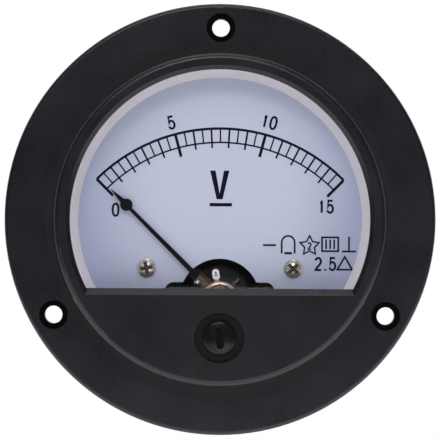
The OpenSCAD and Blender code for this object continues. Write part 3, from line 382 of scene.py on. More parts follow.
def woundCoil():
    # a rounded rectangle carried across the former; its outer side rises and falls in half waves, one
    # for each turn of wire, so the grid's two parameters are the way across and the way round
    spec = coilTurns
    low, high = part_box("coil_winding")
    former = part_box("coil_former")
    front, back = low.y / mm, high.y / mm
    formerFront, formerBack = former[0].y / mm, former[1].y / mm
    # the long way runs along the pointer at rest; the half length follows from the box and that turn
    turn = math.radians(spec["turnDegrees"])
    width = spec["width"]
    halfLength = (high.x / mm - width / 2 * math.sin(turn)) / -math.cos(turn)
    ringCount = int(width / spec["wirePitch"]) * spec["ringsPerTurn"] + 1
    places = np.linspace(-width / 2, width / 2, ringCount)
    wire = np.abs(np.sin(np.arange(ringCount) * math.pi / spec["ringsPerTurn"])) * spec["wireRise"]
    rise = (wire - spec["wireRise"])[:, None]
    outer = roundedRings(halfLength + rise, front - rise, back + rise, spec["corner"])
    build, gap = formerFront - front, spec["gap"]
    inner = roundedRings(halfLength - build + gap, formerFront + gap, formerBack - gap, spec["innerCorner"])
    # the inner side is one row at each edge, and the grid closes between the two
    across = np.vstack([inner[0], outer[0], inner[0]])
    along = np.vstack([inner[1], outer[1], inner[1]])
    sideways = np.r_[places[0], places, places[-1]][:, None]
    x = across * math.cos(turn) - sideways * math.sin(turn)
    z = across * math.sin(turn) + sideways * math.cos(turn) + (low.z + high.z) / 2 / mm
    points = np.stack([x, along, z], -1).reshape(-1, 3)
    faces = gridFaces(*across.shape, closedRows=True, closedColumns=True)
    piece = meshPiece("coilTurns", points * mm, faces, "pointer", "enamelled_copper")
    piece.data.set_sharp_from_angle(angle=math.radians(spec["sharpAngle"]))
    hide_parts("coil_winding")


woundCoil()
print("coil made")


# polarity marks, in mm, moulded on the rear wall above the studs: a plus and a minus

polarityMarks = dict(size=2.6, stroke=0.55, height=0.25, rooted=0.02, above=8.0, padHeight=1.0)


def makePolarityMarks():
    spec = polarityMarks
    low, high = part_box("positive_stud")
    studX = (low.x + high.x) / 2 / mm
    half, thin, above = spec["size"] / 2, spec["stroke"] / 2, spec["above"]
    bars = [rectangle(x - half, x + half, above - thin, above + thin) for x in (studX, -studX)]
    bars.append(rectangle(studX - thin, studX + thin, above - half, above + half))
    points, faces = joinParts([plate(bar, 0, spec["height"]) for bar in bars])
    # the case's box ends on the pads round the studs, which stand out from the wall
    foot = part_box("rear_case")[1].y / mm - spec["padHeight"] - spec["rooted"]
    points = np.c_[points[:, 0], foot + points[:, 2], points[:, 1]] * mm
    meshPiece("polarityMarks", points, turnedOver(faces), "case", "rear_black", smooth=False)


makePolarityMarks()
print("polarity marks made")


# shader groups, each built once and placed in the finishes that use it

def newGroup(name, inputs, outputs):
    # the tree, with its given values and its results by name
    tree = bpy.data.node_groups.new(name, "ShaderNodeTree")
    for label, kind, value in inputs:
        socket = tree.interface.new_socket(label, in_out="INPUT", socket_type="NodeSocket" + kind)
        if value is not None:
            socket.default_value = value
    for label, kind in outputs:
        tree.interface.new_socket(label, in_out="OUTPUT", socket_type="NodeSocket" + kind)
    return tree, tree.nodes.new("NodeGroupInput").outputs, tree.nodes.new("NodeGroupOutput").inputs


def setSocket(tree, socket, value):
    if isinstance(value, bpy.types.NodeSocket):
        tree.links.new(value, socket)
    else:
        socket.default_value = value


def addNode(tree, kind, settings=None, **values):
    # values go to inputs by name, or by number as i0, i1 and so on
    node = tree.nodes.new("ShaderNode" + kind)
    for key, value in (settings or {}).items():
        setattr(node, key, value)
    for key, value in values.items():
        numbered = key[0] == "i" and key[1:].isdigit()
        setSocket(tree, node.inputs[int(key[1:]) if numbered else key], value)
    return node


def mathNode(tree, operation, a, b=0.0, clamp=False):
    return addNode(tree, "Math", dict(operation=operation, use_clamp=clamp), i0=a, i1=b).outputs[0]


def vectorMath(tree, operation, a, b=(0, 0, 0), result="Vector"):
    return addNode(tree, "VectorMath", dict(operation=operation), i0=a, i1=b).outputs[result]


def mixColour(tree, factor, a, b):
    return addNode(tree, "Mix", dict(data_type="RGBA"), i0=factor, i6=a, i7=b).outputs[2]


def ramp(tree, value, low, high, outLow=0.0, outHigh=1.0, curve="LINEAR"):
    settings = dict(clamp=True, interpolation_type=curve)
    return addNode(tree, "MapRange", settings, i0=value, i1=low, i2=high, i3=outLow, i4=outHigh).outputs[0]


def noiseNode(tree, vector, scale, detail, roughness=0.5):
    node = addNode(tree, "TexNoise", Vector=vector, Scale=scale, Detail=detail, Roughness=roughness)
    return node.outputs[0]


def axisDistance(tree, vector):
    # how far a point lies from the axis that runs front to back
    parts = addNode(tree, "SeparateXYZ", i0=vector).outputs
    flat = addNode(tree, "CombineXYZ", i0=parts["X"], i1=parts["Z"]).outputs[0]
    return vectorMath(tree, "LENGTH", flat, result="Value")


toneShape = dict(detail=3.0, roughness=0.55, low=0.3, high=0.7)


def buildToneDrift():
    # slow change between two near colours
    shape = toneShape
    tree, given, result = newGroup("toneDrift", [
        ("Vector", "Vector", None), ("Colour", "Color", (0.5, 0.5, 0.5, 1)),
        ("Other Colour", "Color", (0.5, 0.5, 0.5, 1)), ("Scale", "Float", 60.0)], [("Colour", "Color")])
    noise = noiseNode(tree, given["Vector"], given["Scale"], shape["detail"], shape["roughness"])
    share = ramp(tree, noise, shape["low"], shape["high"])
    tree.links.new(mixColour(tree, share, given["Colour"], given["Other Colour"]), result["Colour"])
    return tree


grainShape = dict(fineDetail=2.0, broadDetail=3.0, broadShare=0.03, low=0.35, high=0.65)


def buildMouldedGrain():
    # fine even grain: height for a bump, and a roughness between two values
    shape = grainShape
    tree, given, result = newGroup("mouldedGrain", [
        ("Vector", "Vector", None), ("Scale", "Float", 2500.0),
        ("Smooth", "Float", 0.4), ("Rough", "Float", 0.6)], [("Height", "Float"), ("Roughness", "Float")])
    fine = noiseNode(tree, given["Vector"], given["Scale"], shape["fineDetail"])
    broadScale = mathNode(tree, "MULTIPLY", given["Scale"], shape["broadShare"])
    broad = noiseNode(tree, given["Vector"], broadScale, shape["broadDetail"])
    both = mathNode(tree, "ADD", mathNode(tree, "MULTIPLY", fine, 0.5),
                    mathNode(tree, "MULTIPLY", broad, 0.5))
    tree.links.new(fine, result["Height"])
    tree.links.new(ramp(tree, both, shape["low"], shape["high"], given["Smooth"], given["Rough"]),
                   result["Roughness"])
    return tree


dustShape = dict(cloudShare=0.08, cloudDetail=4.0, speckEdge=0.11, speckMiddle=0.05,
                 clearBelow=0.5, fullAbove=0.62, film=0.12)


def buildFineDust():
    # scattered specks and a faint cloudy film
    shape = dustShape
    tree, given, result = newGroup("fineDust", [
        ("Vector", "Vector", None), ("Scale", "Float", 900.0), ("Amount", "Float", 0.3)],
        [("Mask", "Float")])
    specks = addNode(tree, "TexVoronoi", Vector=given["Vector"], Scale=given["Scale"]).outputs["Distance"]
    cloudScale = mathNode(tree, "MULTIPLY", given["Scale"], shape["cloudShare"])
    cloud = noiseNode(tree, given["Vector"], cloudScale, shape["cloudDetail"])
    spot = ramp(tree, specks, shape["speckEdge"], shape["speckMiddle"])
    where = ramp(tree, cloud, shape["clearBelow"], shape["fullAbove"])
    both = mathNode(tree, "ADD", mathNode(tree, "MULTIPLY", spot, where),
                    mathNode(tree, "MULTIPLY", where, shape["film"]))
    tree.links.new(mathNode(tree, "MULTIPLY", both, given["Amount"], clamp=True), result["Mask"])
    return tree


wearAndHighlightShape = dict(samples=4, flat=0.995, sharp=0.88, noiseScale=1400.0, noiseDetail=3.0,
                low=0.35, high=0.65, least=0.25)


def buildEdgeWearAndHighlight():
    # worn edges and painted highlight: edges painted lighter where the rounded normal leaves the true one,
    # broken up by noise
    shape = wearAndHighlightShape
    tree, given, result = newGroup("edgeWearAndHighlight", [
        ("Vector", "Vector", None), ("Radius", "Float", 0.0003), ("Amount", "Float", 0.5)],
        [("Mask", "Float")])
    rounded = addNode(tree, "Bevel", dict(samples=shape["samples"]), Radius=given["Radius"]).outputs[0]
    trueNormal = addNode(tree, "NewGeometry").outputs["Normal"]
    likeness = vectorMath(tree, "DOT_PRODUCT", rounded, trueNormal, "Value")
    edge = ramp(tree, likeness, shape["flat"], shape["sharp"])
    noise = noiseNode(tree, given["Vector"], shape["noiseScale"], shape["noiseDetail"])
    broken = mathNode(tree, "MULTIPLY", edge, ramp(tree, noise, shape["low"], shape["high"], shape["least"]))
    tree.links.new(mathNode(tree, "MULTIPLY", broken, given["Amount"], clamp=True), result["Mask"])
    return tree


def buildCavityGrimeAndShade():
    # dark dirt and painted shade, painted darker where recesses and corners are shut in
    tree, given, result = newGroup("cavityGrimeAndShade", [
        ("Reach", "Float", 0.0008), ("Low", "Float", 0.45), ("High", "Float", 0.95),
        ("Amount", "Float", 0.5)], [("Mask", "Float")])
    openness = addNode(tree, "AmbientOcclusion", dict(samples=6), Distance=given["Reach"]).outputs["AO"]
    shut = ramp(tree, openness, given["Low"], given["High"], 1.0, 0.0)
    tree.links.new(mathNode(tree, "MULTIPLY", shut, given["Amount"], clamp=True), result["Mask"])
    return tree


def buildRoundPatch():
    # inside of a circle seen from the front, with a soft edge
    tree, given, result = newGroup("roundPatch", [
        ("Vector", "Vector", None), ("Centre", "Vector", (0, 0, 0)), ("Inner", "Float", 0.003),
        ("Outer", "Float", 0.0032)], [("Mask", "Float")])
    distance = axisDistance(tree, vectorMath(tree, "SUBTRACT", given["Vector"], given["Centre"]))
    inside = ramp(tree, distance, given["Inner"], given["Outer"], 1.0, 0.0, "SMOOTHSTEP")
    tree.links.new(inside, result["Mask"])
    return tree


ringShape = dict(wanderScale=500.0, wanderDetail=1.0, wander=0.8)


def buildTurnedRings():
    # tool marks of a lathe: fine waves of the distance from the axis
    shape = ringShape
    tree, given, result = newGroup("turnedRings", [
        ("Vector", "Vector", None), ("Pitch", "Float", 0.0001)], [("Height", "Float")])
    rings = mathNode(tree, "DIVIDE", axisDistance(tree, given["Vector"]), given["Pitch"])
    noise = noiseNode(tree, given["Vector"], shape["wanderScale"], shape["wanderDetail"])
    phase = mathNode(tree, "ADD", rings, mathNode(tree, "MULTIPLY", noise, shape["wander"]))
    wave = mathNode(tree, "SINE", mathNode(tree, "MULTIPLY", phase, 2 * math.pi))
    tree.links.new(ramp(tree, wave, -1.0, 1.0), result["Height"])
    return tree


def buildDrawnLines():
    # rolling or drawing marks: noise stretched along one direction
    tree, given, result = newGroup("drawnLines", [
        ("Vector", "Vector", None), ("Stretch", "Vector", (60.0, 4000.0, 4000.0))], [("Height", "Float")])
    stretched = vectorMath(tree, "MULTIPLY", given["Vector"], given["Stretch"])
    tree.links.new(noiseNode(tree, stretched, scale=1.0, detail=2.0), result["Height"])
    return tree


toneDrift, mouldedGrain, fineDust = buildToneDrift(), buildMouldedGrain(), buildFineDust()
edgeWearAndHighlight, turnedRings, drawnLines = buildEdgeWearAndHighlight(), buildTurnedRings(), buildDrawnLines()
cavityGrimeAndShade, roundPatch = buildCavityGrimeAndShade(), buildRoundPatch()
print("shader groups made")


# finishes: one Principled shader each, its tone, roughness and bump built up from the groups

def newMaterial(name):
    material = bpy.data.materials.new(name)
    material.use_nodes = True
    tree = material.node_tree
    tree.nodes.clear()
    output = tree.nodes.new("ShaderNodeOutputMaterial")
    shader = tree.nodes.new("ShaderNodeBsdfPrincipled")
    tree.links.new(shader.outputs[0], output.inputs[0])
    return material, tree, shader, output


def placeGroup(tree, group, **values):
    # the group's results, with its inputs set by name
    node = tree.nodes.new("ShaderNodeGroup")
    node.node_tree = group
    for key, value in values.items():
        setSocket(tree, node.inputs[key.replace("_", " ")], value)
    return node.outputs


def objectCoords(tree):
    return addNode(tree, "TexCoord").outputs["Object"]


finishShape = dict(ringPitch=0.00012, markShare=0.3, dustDulls=0.5, grimeAndShadeDulls=0.3, coatRoughness=0.2)


def markHeight(tree, coords, marks):
    # lathe rings about the axis, or lines drawn out by the three scales given
    if marks == "turned":
        return placeGroup(tree, turnedRings, Vector=coords, Pitch=finishShape["ringPitch"])["Height"]
    return placeGroup(tree, drawnLines, Vector=coords, Stretch=marks)["Height"]


def finish(name, colour, other, toneScale=70, metal=0.0, smooth=0.4, rough=0.6, grainScale=2500,
           bump=0.00001, marks=None, centre=None, dust=0.0, dustScale=900, dustColour=(0.28, 0.27, 0.26),
           wearAndHighlight=0.0, wearAndHighlightRadius=0.0003, wearAndHighlightColour=(0.12, 0.12, 0.125),
           grimeAndShade=0.0, grimeAndShadeReach=0.0008, grimeAndShadeColour=(0.03, 0.022, 0.018),
           gloss=0.5, coat=0.0, paintedLightPatches=(), paintedLightColour=(0, 0, 0), paintedLightAmount=1.0):
    # colour drifts into other; smooth and rough are the least and the greatest roughness; a scale counts
    # the pattern's turns in a metre, and bump and every reach and radius are in metres
    material, tree, shader, _ = newMaterial(name)
    coords = objectCoords(tree)
    if centre:
        coords = addNode(tree, "Mapping", Vector=coords, Location=tuple(-c for c in centre)).outputs[0]
    tone = placeGroup(tree, toneDrift, Vector=coords, Colour=(*colour, 1), Other_Colour=(*other, 1),
                      Scale=float(toneScale))["Colour"]
    grain = placeGroup(tree, mouldedGrain, Vector=coords, Scale=float(grainScale),
                       Smooth=smooth, Rough=rough)
    height, roughness = grain["Height"], grain["Roughness"]
    if dust:
        mask = placeGroup(tree, fineDust, Vector=coords, Scale=float(dustScale), Amount=dust)["Mask"]
        tone = mixColour(tree, mask, tone, (*dustColour, 1))
        dulling = mathNode(tree, "MULTIPLY", mask, finishShape["dustDulls"])
        roughness = mathNode(tree, "ADD", roughness, dulling, clamp=True)
    # painted highlight and wear: edges painted lighter
    if wearAndHighlight:
        mask = placeGroup(tree, edgeWearAndHighlight, Vector=coords, Radius=wearAndHighlightRadius, Amount=wearAndHighlight)["Mask"]
        tone = mixColour(tree, mask, tone, (*wearAndHighlightColour, 1))
    # painted shade with some dirt: recesses and corners are darkened by how shut in they are
    if grimeAndShade:
        mask = placeGroup(tree, cavityGrimeAndShade, Reach=grimeAndShadeReach, Amount=grimeAndShade)["Mask"]
        tone = mixColour(tree, mask, tone, (*grimeAndShadeColour, 1))
        dulling = mathNode(tree, "MULTIPLY", mask, finishShape["grimeAndShadeDulls"])
        roughness = mathNode(tree, "ADD", roughness, dulling, clamp=True)
    dulled = None
    # painted light: each patch mixes painted shade (the sinks) and painted light (the dial's middle) into
    # the tone
    for patch in paintedLightPatches:
        mask = placeGroup(tree, roundPatch, Vector=coords, Centre=patch["middle"], Inner=patch["inner"],
                          Outer=patch["outer"])["Mask"]
        tone = mixColour(tree, mathNode(tree, "MULTIPLY", mask, paintedLightAmount), tone, (*paintedLightColour, 1))
        if patch["matt"]:  # a black metal base mirrors next to nothing, so the patch loses its sheen
            share = mathNode(tree, "MULTIPLY", mask, patch["matt"])
            dulled = mathNode(tree, "MAXIMUM", share, dulled) if dulled else share
    if marks:
        share = finishShape["markShare"]
        height = mathNode(tree, "ADD", mathNode(tree, "MULTIPLY", height, 1 - share),
                          mathNode(tree, "MULTIPLY", markHeight(tree, coords, marks), share))
    bumped = addNode(tree, "Bump", Strength=1.0, Distance=bump, Height=height).outputs[0]
    inputs = shader.inputs
    tree.links.new(tone, inputs["Base Color"])
    tree.links.new(roughness, inputs["Roughness"])
    tree.links.new(bumped, inputs["Normal"])
    setSocket(tree, inputs["Metallic"], dulled or metal)
    inputs["Specular IOR Level"].default_value = gloss
    inputs["Coat Weight"].default_value = coat
    inputs["Coat Roughness"].default_value = finishShape["coatRoughness"]
    return material


def middleOf(name):
    low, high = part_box(name)
    return (low + high) / 2


def principledInputs(material):
    return material.node_tree.nodes["Principled BSDF"].inputs


windowPane = {"Base Color": (1, 1, 1, 1), "Roughness": 0.0, "IOR": 1.3, "Transmission Weight": 1.0}


def windowGlass():
    # clear pane; lamps and soft light pass straight through, so the dial behind is lit as in air
    material, tree, shader, output = newMaterial("clearWindow")
    for name, value in windowPane.items():
        shader.inputs[name].default_value = value
    rays = addNode(tree, "LightPath").outputs
    through = addNode(tree, "BsdfTransparent").outputs[0]
    unseen = mathNode(tree, "MAXIMUM", rays["Is Shadow Ray"], rays["Is Diffuse Ray"])
    mixed = addNode(tree, "MixShader", i0=unseen, i1=shader.outputs[0], i2=through).outputs[0]
    tree.links.new(mixed, output.inputs["Surface"])
    return material


leverTab = dict(tinFrom=0.0038, tinFull=0.0044, tin=(0.86, 0.87, 0.90), rimMetal=0.8, tabMetal=0.15)


def leverPlate():
    # gilt rim; the tab above it is bright tin over the same plate
    material = finish("giltNickel", (0.84, 0.70, 0.58), (0.46, 0.35, 0.28), toneScale=900,
                      metal=leverTab["rimMetal"], smooth=0.1, rough=0.26, marks="turned",
                      centre=tuple(pivotAt), bump=0.000006)
    tree, inputs = material.node_tree, principledInputs(material)
    height = addNode(tree, "SeparateXYZ", i0=objectCoords(tree)).outputs["Z"]
    tab = ramp(tree, height, pivotAt.z + leverTab["tinFrom"], pivotAt.z + leverTab["tinFull"])
    gilt = inputs["Base Color"].links[0].from_socket
    tree.links.new(mixColour(tree, tab, gilt, (*leverTab["tin"], 1)), inputs["Base Color"])
    tree.links.new(ramp(tree, tab, 0.0, 1.0, leverTab["rimMetal"], leverTab["tabMetal"]), inputs["Metallic"])
    return material


screwRecess = dict(radius=0.00141, softEdge=0.00005, wallFrom=0.00030, wallTo=0.00045,
                   dirtAndShade=(0.095, 0.072, 0.064), amount=0.92)


def crossScrew():
    # bright tumbled nickel; the cross recess, which lies below the crown, is painted dark for old plating
    # dirt and painted shade
    material = finish("nickelScrew", (0.95, 0.92, 0.86), (0.80, 0.75, 0.67), toneScale=900, metal=0.84,
                      smooth=0.15, rough=0.34, grainScale=1300, bump=0.00002,
                      wearAndHighlight=0.3, wearAndHighlightColour=(0.95, 0.93, 0.88),
                      grimeAndShade=0.6, grimeAndShadeReach=0.0006, grimeAndShadeColour=(0.09, 0.065, 0.05))
    spec, tree, inputs = screwRecess, material.node_tree, principledInputs(material)
    coords = objectCoords(tree)
    depth = addNode(tree, "SeparateXYZ", i0=coords).outputs["Y"]
    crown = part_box("dial_screw_left")[0].y
    # painted shade with dirt: the recess below the crown is painted dark
    sunk = ramp(tree, depth, crown + spec["wallFrom"], crown + spec["wallTo"])
    nickel = inputs["Base Color"].links[0].from_socket
    for name in ("dial_screw_left", "dial_screw_right"):
        inside = placeGroup(tree, roundPatch, Vector=coords, Centre=tuple(middleOf(name)),
                            Inner=spec["radius"], Outer=spec["radius"] + spec["softEdge"])["Mask"]
        dark = mathNode(tree, "MULTIPLY", mathNode(tree, "MULTIPLY", inside, sunk), spec["amount"])
        nickel = mixColour(tree, dark, nickel, (*spec["dirtAndShade"], 1))
    tree.links.new(nickel, inputs["Base Color"])
    return material


# painted light: the dial's middle is painted lighter, fading to a greyer rim, standing for light pooling in
# the middle and shade near the well's walls
dialPaintedLight = dict(middle=(0, 0, 0.006), inner=0.012, outer=0.036, matt=0)


def dialPaint():
    # pale blue-white lacquer with a faint orange peel; painted light makes it lighter in the middle and
    # greyer towards its rim
    return finish("dialLacquer", (0.36, 0.395, 0.57), (0.345, 0.38, 0.555), toneScale=45, smooth=0.42,
                  rough=0.55, grainScale=1800, bump=0.000004, gloss=0.3,
                  paintedLightPatches=[dialPaintedLight], paintedLightColour=(0.545, 0.58, 0.73), paintedLightAmount=0.95)


# painted shade in the sinks round the fixing holes and the adjuster: they are painted darker and duller than
# the flange
sinkShade = dict(holeCircle=0.040, holeAngles=(90, 210, 330), holeInner=0.00285, holeOuter=0.0031, holeMatt=0.85,
             adjusterInner=0.0050, adjusterOuter=0.0053, adjusterMatt=0.42)


def sinkShadePatches():
    hole = dict(inner=sinkShade["holeInner"], outer=sinkShade["holeOuter"], matt=sinkShade["holeMatt"])
    circle = sinkShade["holeCircle"]
    paintedLightPatches = [dict(hole, middle=(circle * math.cos(angle), 0, circle * math.sin(angle)))
               for angle in np.radians(sinkShade["holeAngles"])]
    paintedLightPatches.append(dict(middle=(0, 0, middleOf("zero_screw").z), inner=sinkShade["adjusterInner"],
                        outer=sinkShade["adjusterOuter"], matt=sinkShade["adjusterMatt"]))
    return paintedLightPatches


def mouldedCase():
    # satin black thermoset with a fine grain and faint dust; painted shade darkens its recesses and sinks,
    # and its edges are painted lighter as wear and painted highlight
    return finish("mouldedCase", (0.0040, 0.0037, 0.0094), (0.0060, 0.0056, 0.0122), toneScale=40,
                  smooth=0.25, rough=0.38, grainScale=3200, bump=0.000012, gloss=0.6, dust=0.04,
                  paintedLightPatches=sinkShadePatches(), paintedLightColour=(0.0004, 0.0004, 0.0005), paintedLightAmount=0.97,
                  wearAndHighlight=0.16, wearAndHighlightRadius=0.00035, wearAndHighlightColour=(0.03, 0.03, 0.036),
                  grimeAndShade=0.9, grimeAndShadeReach=0.0025, grimeAndShadeColour=(0.001, 0.001, 0.0012))


pivotAt = middleOf("front_pivot")
finishes = {
    "case_black": mouldedCase(),
    "rear_black": finish("mouldedBarrel", (0.011, 0.011, 0.012), (0.016, 0.016, 0.017), smooth=0.35,
                         rough=0.5, grainScale=2600, bump=0.00001, gloss=0.35, dust=0.12, wearAndHighlight=0.3),
    "frame_black": finish("mouldedFrame", (0.040, 0.038, 0.037), (0.058, 0.055, 0.052), toneScale=350,
                          smooth=0.5, rough=0.7, grainScale=2000, bump=0.00002, gloss=0.3),
    "window": windowGlass(),
    "cream_ring": finish("creamRing", (0.84, 0.80, 0.83), (0.78, 0.74, 0.77), toneScale=90, smooth=0.45,
                         rough=0.6, grainScale=1500, bump=0.000006, gloss=0.3, dust=0.04,
                         dustColour=(0.3, 0.28, 0.27)),
    "dial_white": dialPaint(),
    "print_ink": finish("printInk", (0.0035, 0.0045, 0.016), (0.005, 0.006, 0.019), smooth=0.6, rough=0.8,
                        grainScale=4000, bump=0.000002, gloss=0.05),
    "nickel_screw": crossScrew(),
    "steel_screw": finish("zincScrew", (0.55, 0.55, 0.56), (0.45, 0.45, 0.42), toneScale=500, metal=1.0,
                          smooth=0.3, rough=0.5, grainScale=2500, bump=0.00001),
    "adjuster_black": finish("adjusterBlack", (0.004, 0.004, 0.0045), (0.006, 0.006, 0.007), toneScale=300,
                             smooth=0.16, rough=0.3, grainScale=1500, bump=0.000004, gloss=0.36, dust=0.05,
                             dustScale=2500, wearAndHighlight=0.2, wearAndHighlightRadius=0.0002),
    "spring_steel": finish("springSteel", (0.45, 0.46, 0.48), (0.38, 0.39, 0.42), toneScale=400, metal=1.0,
                           smooth=0.2, rough=0.35, marks=(80.0, 4500.0, 4500.0), bump=0.000006),
    "gilt_nickel": leverPlate(),
    "nickel_strip": finish("nickelStrip", (0.34, 0.32, 0.29), (0.24, 0.225, 0.2), toneScale=300, metal=1.0,
                           smooth=0.25, rough=0.45, marks=(60.0, 3000.0, 3500.0), bump=0.000006),
    "brass_parts": finish("turnedBrass", (0.58, 0.43, 0.24), (0.42, 0.30, 0.16), toneScale=350, metal=1.0,
                          smooth=0.2, rough=0.42, marks=(3000.0, 120.0, 3000.0), bump=0.000008, wearAndHighlight=0.3,
                          wearAndHighlightColour=(0.85, 0.7, 0.4)),
    "bronze_spring": finish("bronzeSpring", (0.66, 0.46, 0.22), (0.55, 0.36, 0.16), toneScale=500,
                            metal=1.0, smooth=0.2, rough=0.35, grainScale=3000, bump=0.000003),
    "pointer_black": finish("pointerBlack", (0.0032, 0.0038, 0.0105), (0.005, 0.0055, 0.013), toneScale=500,
                            smooth=0.5, rough=0.7, grainScale=3500, bump=0.000003, gloss=0.08),
    "cross_grey": finish("bareStamping", (0.24, 0.232, 0.215), (0.17, 0.165, 0.155), toneScale=700,
                         metal=1.0, smooth=0.35, rough=0.55, grainScale=2500, bump=0.000006),
    "solder": finish("solderBead", (0.72, 0.72, 0.73), (0.55, 0.55, 0.56), toneScale=900, metal=1.0,
                     smooth=0.12, rough=0.3, grainScale=900, bump=0.00003),
    "weight_grey": finish("tinnedWeights", (0.15, 0.15, 0.155), (0.10, 0.10, 0.105), toneScale=600,
                          metal=1.0, smooth=0.3, rough=0.5, grainScale=2500, bump=0.000006),
    "former_aluminium": finish("formerFoil", (0.62, 0.62, 0.64), (0.5, 0.5, 0.52), toneScale=300, metal=1.0,
                               smooth=0.2, rough=0.4, marks=(100.0, 3500.0, 100.0), bump=0.000004),
    "enamelled_copper": finish("enamelledWire", (0.36, 0.12, 0.085), (0.22, 0.065, 0.048), toneScale=400,
                               smooth=0.2, rough=0.4, grainScale=2500, bump=0.000004, coat=0.3),
    "magnet_grey": finish("groundMagnet", (0.085, 0.081, 0.082), (0.065, 0.061, 0.063), toneScale=300,
                          metal=0.4, smooth=0.35, rough=0.6, marks=(2500.0, 150.0, 2500.0), bump=0.00001),
    "yoke_steel": finish("blackenedIron", (0.13, 0.125, 0.12), (0.09, 0.087, 0.084), toneScale=300,
                         metal=0.4, smooth=0.4, rough=0.6, marks="turned", centre=(0, 0, pivotAt.z),
                         bump=0.000008),
    "nickel_washer": finish("nickelWasher", (0.62, 0.61, 0.58), (0.52, 0.5, 0.46), toneScale=300, metal=1.0,
                            smooth=0.22, rough=0.42, grainScale=2000, bump=0.000008, wearAndHighlight=0.3,
                            wearAndHighlightColour=(0.85, 0.84, 0.8)),
    "tinned_brass": finish("tinnedBrass", (0.62, 0.61, 0.57), (0.5, 0.48, 0.42), toneScale=350, metal=1.0,
                           smooth=0.25, rough=0.45, grainScale=1800, bump=0.000008),
    "resistor_tan": finish("resistorLacquer", (0.52, 0.38, 0.2), (0.46, 0.33, 0.17), toneScale=300,
                           smooth=0.25, rough=0.45, grainScale=1800, bump=0.000006, coat=0.2),
    "wire_red": finish("redSleeving", (0.16, 0.012, 0.011), (0.12, 0.009, 0.008), toneScale=250,
                       smooth=0.35, rough=0.55, grainScale=2200, bump=0.000006),
    "wire_black": finish("blackSleeving", (0.012, 0.012, 0.013), (0.02, 0.02, 0.021), toneScale=250,
                         smooth=0.35, rough=0.55, grainScale=2200, bump=0.000006),
}
# each solid's slot, and each new piece's, names its finish
for node in nodes.values():
    slotName = node.data.materials[0].name.split(".")[0]
    for slot in node.material_slots:
        slot.material = finishes[slotName]
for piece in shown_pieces():
    if "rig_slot" in piece and not piece.data.materials:
        piece.data.materials.append(finishes[piece["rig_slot"]])
print("finishes placed")


# stage, lamps and camera, in metres and watts

stage = dict(
    floorBelow=0.03, floorRadius=0.6, hubRadius=0.001, rings=12, spokes=64, fadeFrom=0.16, fadeTo=0.34,
    floorColour=(0.8, 0.8, 0.8), floorGlow=0.35,
    skyDiffuse=0.79, roomInFront=0.08, roomUpTo=-0.05, whiteFrom=0.35,
)
lamps = {
    # name: place, size, power
    "topSoftbox": ((-0.04, -0.58, 0.34), (0.36, 0.12), 0.9),
    "overheadSoftbox": ((-0.05, -0.10, 0.60), (0.5, 0.25), 0.55),
    "lowFill": ((0.13, -0.50, -0.185), (0.30, 0.08), 0.31),
    "backRim": ((0.35, 0.55, 0.45), (0.4, 0.4), 2.0),
    "backFill": ((-0.45, 0.6, -0.05), (0.4, 0.4), 1.2),
}
# the view is as wide as viewWidth on a plane that lies planeInFront of the panel's face
lens = dict(distance=0.65, planeInFront=0.0027, viewWidth=0.09184, below=0.0001, rollDegrees=0.3,
            sensor=36.0, clip=(0.05, 20))


def paleFloor():
    # pale, with a glow of its own where the camera, a mirror or glass sees it; it fades out with distance,
    # and is clear from below so that the underside can be looked at
    material, tree, shader, output = newMaterial("paleFloor")
    settings = {"Base Color": (*stage["floorColour"], 1), "Roughness": 0.9, "Specular IOR Level": 0.0,
                "Emission Color": (1, 1, 1, 1)}
    for name, value in settings.items():
        shader.inputs[name].default_value = value
    rays = addNode(tree, "LightPath").outputs
    seen = mathNode(tree, "ADD", rays["Is Camera Ray"], rays["Is Glossy Ray"])
    seen = mathNode(tree, "ADD", seen, rays["Is Transmission Ray"], clamp=True)
    setSocket(tree, shader.inputs["Emission Strength"], mathNode(tree, "MULTIPLY", seen, stage["floorGlow"]))
    far = vectorMath(tree, "LENGTH", objectCoords(tree), result="Value")
    fade = ramp(tree, far, stage["fadeFrom"], stage["fadeTo"])
    clear = mathNode(tree, "MAXIMUM", fade, addNode(tree, "NewGeometry").outputs["Backfacing"])
    through = addNode(tree, "BsdfTransparent").outputs[0]
    mixed = addNode(tree, "MixShader", i0=clear, i1=shader.outputs[0], i2=through).outputs[0]
    tree.links.new(mixed, output.inputs["Surface"])
    return material


def makeFloor():
    # a round sheet, its points at even steps of the distance from the middle and of the angle
    rings, spokes = stage["rings"], stage["spokes"]
    radius, angle = np.meshgrid(np.linspace(stage["hubRadius"], stage["floorRadius"], rings),
                                np.linspace(0, 2 * math.pi, spokes, endpoint=False), indexing="ij")
    height = np.full_like(radius, cadLow.z - stage["floorBelow"])
    points = np.stack([radius * np.cos(angle), radius * np.sin(angle), height], -1).reshape(-1, 3)
    mesh = bpy.data.meshes.new("studioFloor")
    faces = turnedOver(gridFaces(rings, spokes, closedColumns=True)) + [list(range(spokes))]
    mesh.from_pydata(points.tolist(), [], faces)
    mesh.materials.append(paleFloor())
    floor = bpy.data.objects.new("studioFloor", mesh)
    bpy.context.scene.collection.objects.link(floor)


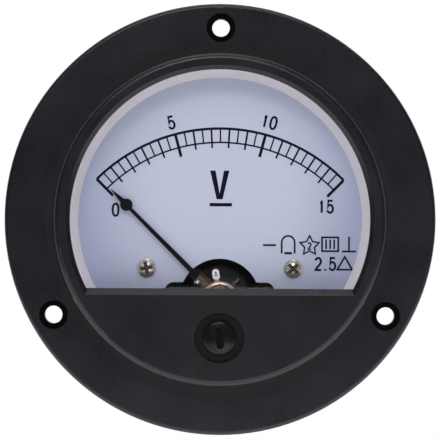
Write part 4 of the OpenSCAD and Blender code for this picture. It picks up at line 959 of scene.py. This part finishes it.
def makeWorld():
    # white to the camera; mirrors and glass see the white where it stands, behind the object, and the
    # dim room in front; a soft even light falls on everything
    world = bpy.data.worlds.new("whiteStudio")
    bpy.context.scene.world = world
    world.use_nodes = True
    tree = world.node_tree
    tree.nodes.clear()
    rays = addNode(tree, "LightPath").outputs
    direction = addNode(tree, "TexCoord").outputs["Generated"]
    backwards = addNode(tree, "SeparateXYZ", i0=direction).outputs["Y"]
    room = ramp(tree, backwards, stage["roomUpTo"], stage["whiteFrom"], stage["roomInFront"], 1.0)
    mirrored = mathNode(tree, "ADD", rays["Is Glossy Ray"], rays["Is Transmission Ray"], clamp=True)
    seen = mathNode(tree, "MAXIMUM", rays["Is Camera Ray"], mathNode(tree, "MULTIPLY", mirrored, room))
    lit = mathNode(tree, "MULTIPLY", rays["Is Diffuse Ray"], stage["skyDiffuse"])
    strength = mathNode(tree, "MAXIMUM", seen, lit)
    sky = addNode(tree, "Background", Color=(1, 1, 1, 1), Strength=strength).outputs[0]
    output = tree.nodes.new("ShaderNodeOutputWorld")
    tree.links.new(sky, output.inputs["Surface"])


def makeLamps():
    # rectangular softboxes aimed at the origin, the middle of the panel's face
    for name, (place, size, power) in lamps.items():
        data = bpy.data.lights.new(name, "AREA")
        data.shape = "RECTANGLE"
        data.size, data.size_y, data.energy = *size, power
        lamp = bpy.data.objects.new(name, data)
        lamp.location = place
        lamp.rotation_mode = "QUATERNION"
        lamp.rotation_quaternion = (-Vector(place)).to_track_quat("-Z", "Y")
        bpy.context.scene.collection.objects.link(lamp)


def makeCamera():
    data = bpy.data.cameras.new("frontCamera")
    data.sensor_width = lens["sensor"]
    data.lens = lens["sensor"] * lens["distance"] / lens["viewWidth"]
    data.clip_start, data.clip_end = lens["clip"]
    camera = bpy.data.objects.new("frontCamera", data)
    camera.location = (0, -lens["distance"] - lens["planeInFront"], -lens["below"])
    camera.rotation_euler = (math.pi / 2, -math.radians(lens["rollDegrees"]), 0)
    bpy.context.scene.collection.objects.link(camera)
    bpy.context.scene.camera = camera


makeFloor()
makeWorld()
makeLamps()
makeCamera()
bpy.context.scene.view_settings.view_transform = "Standard"
print("stage, lamps and camera placed")
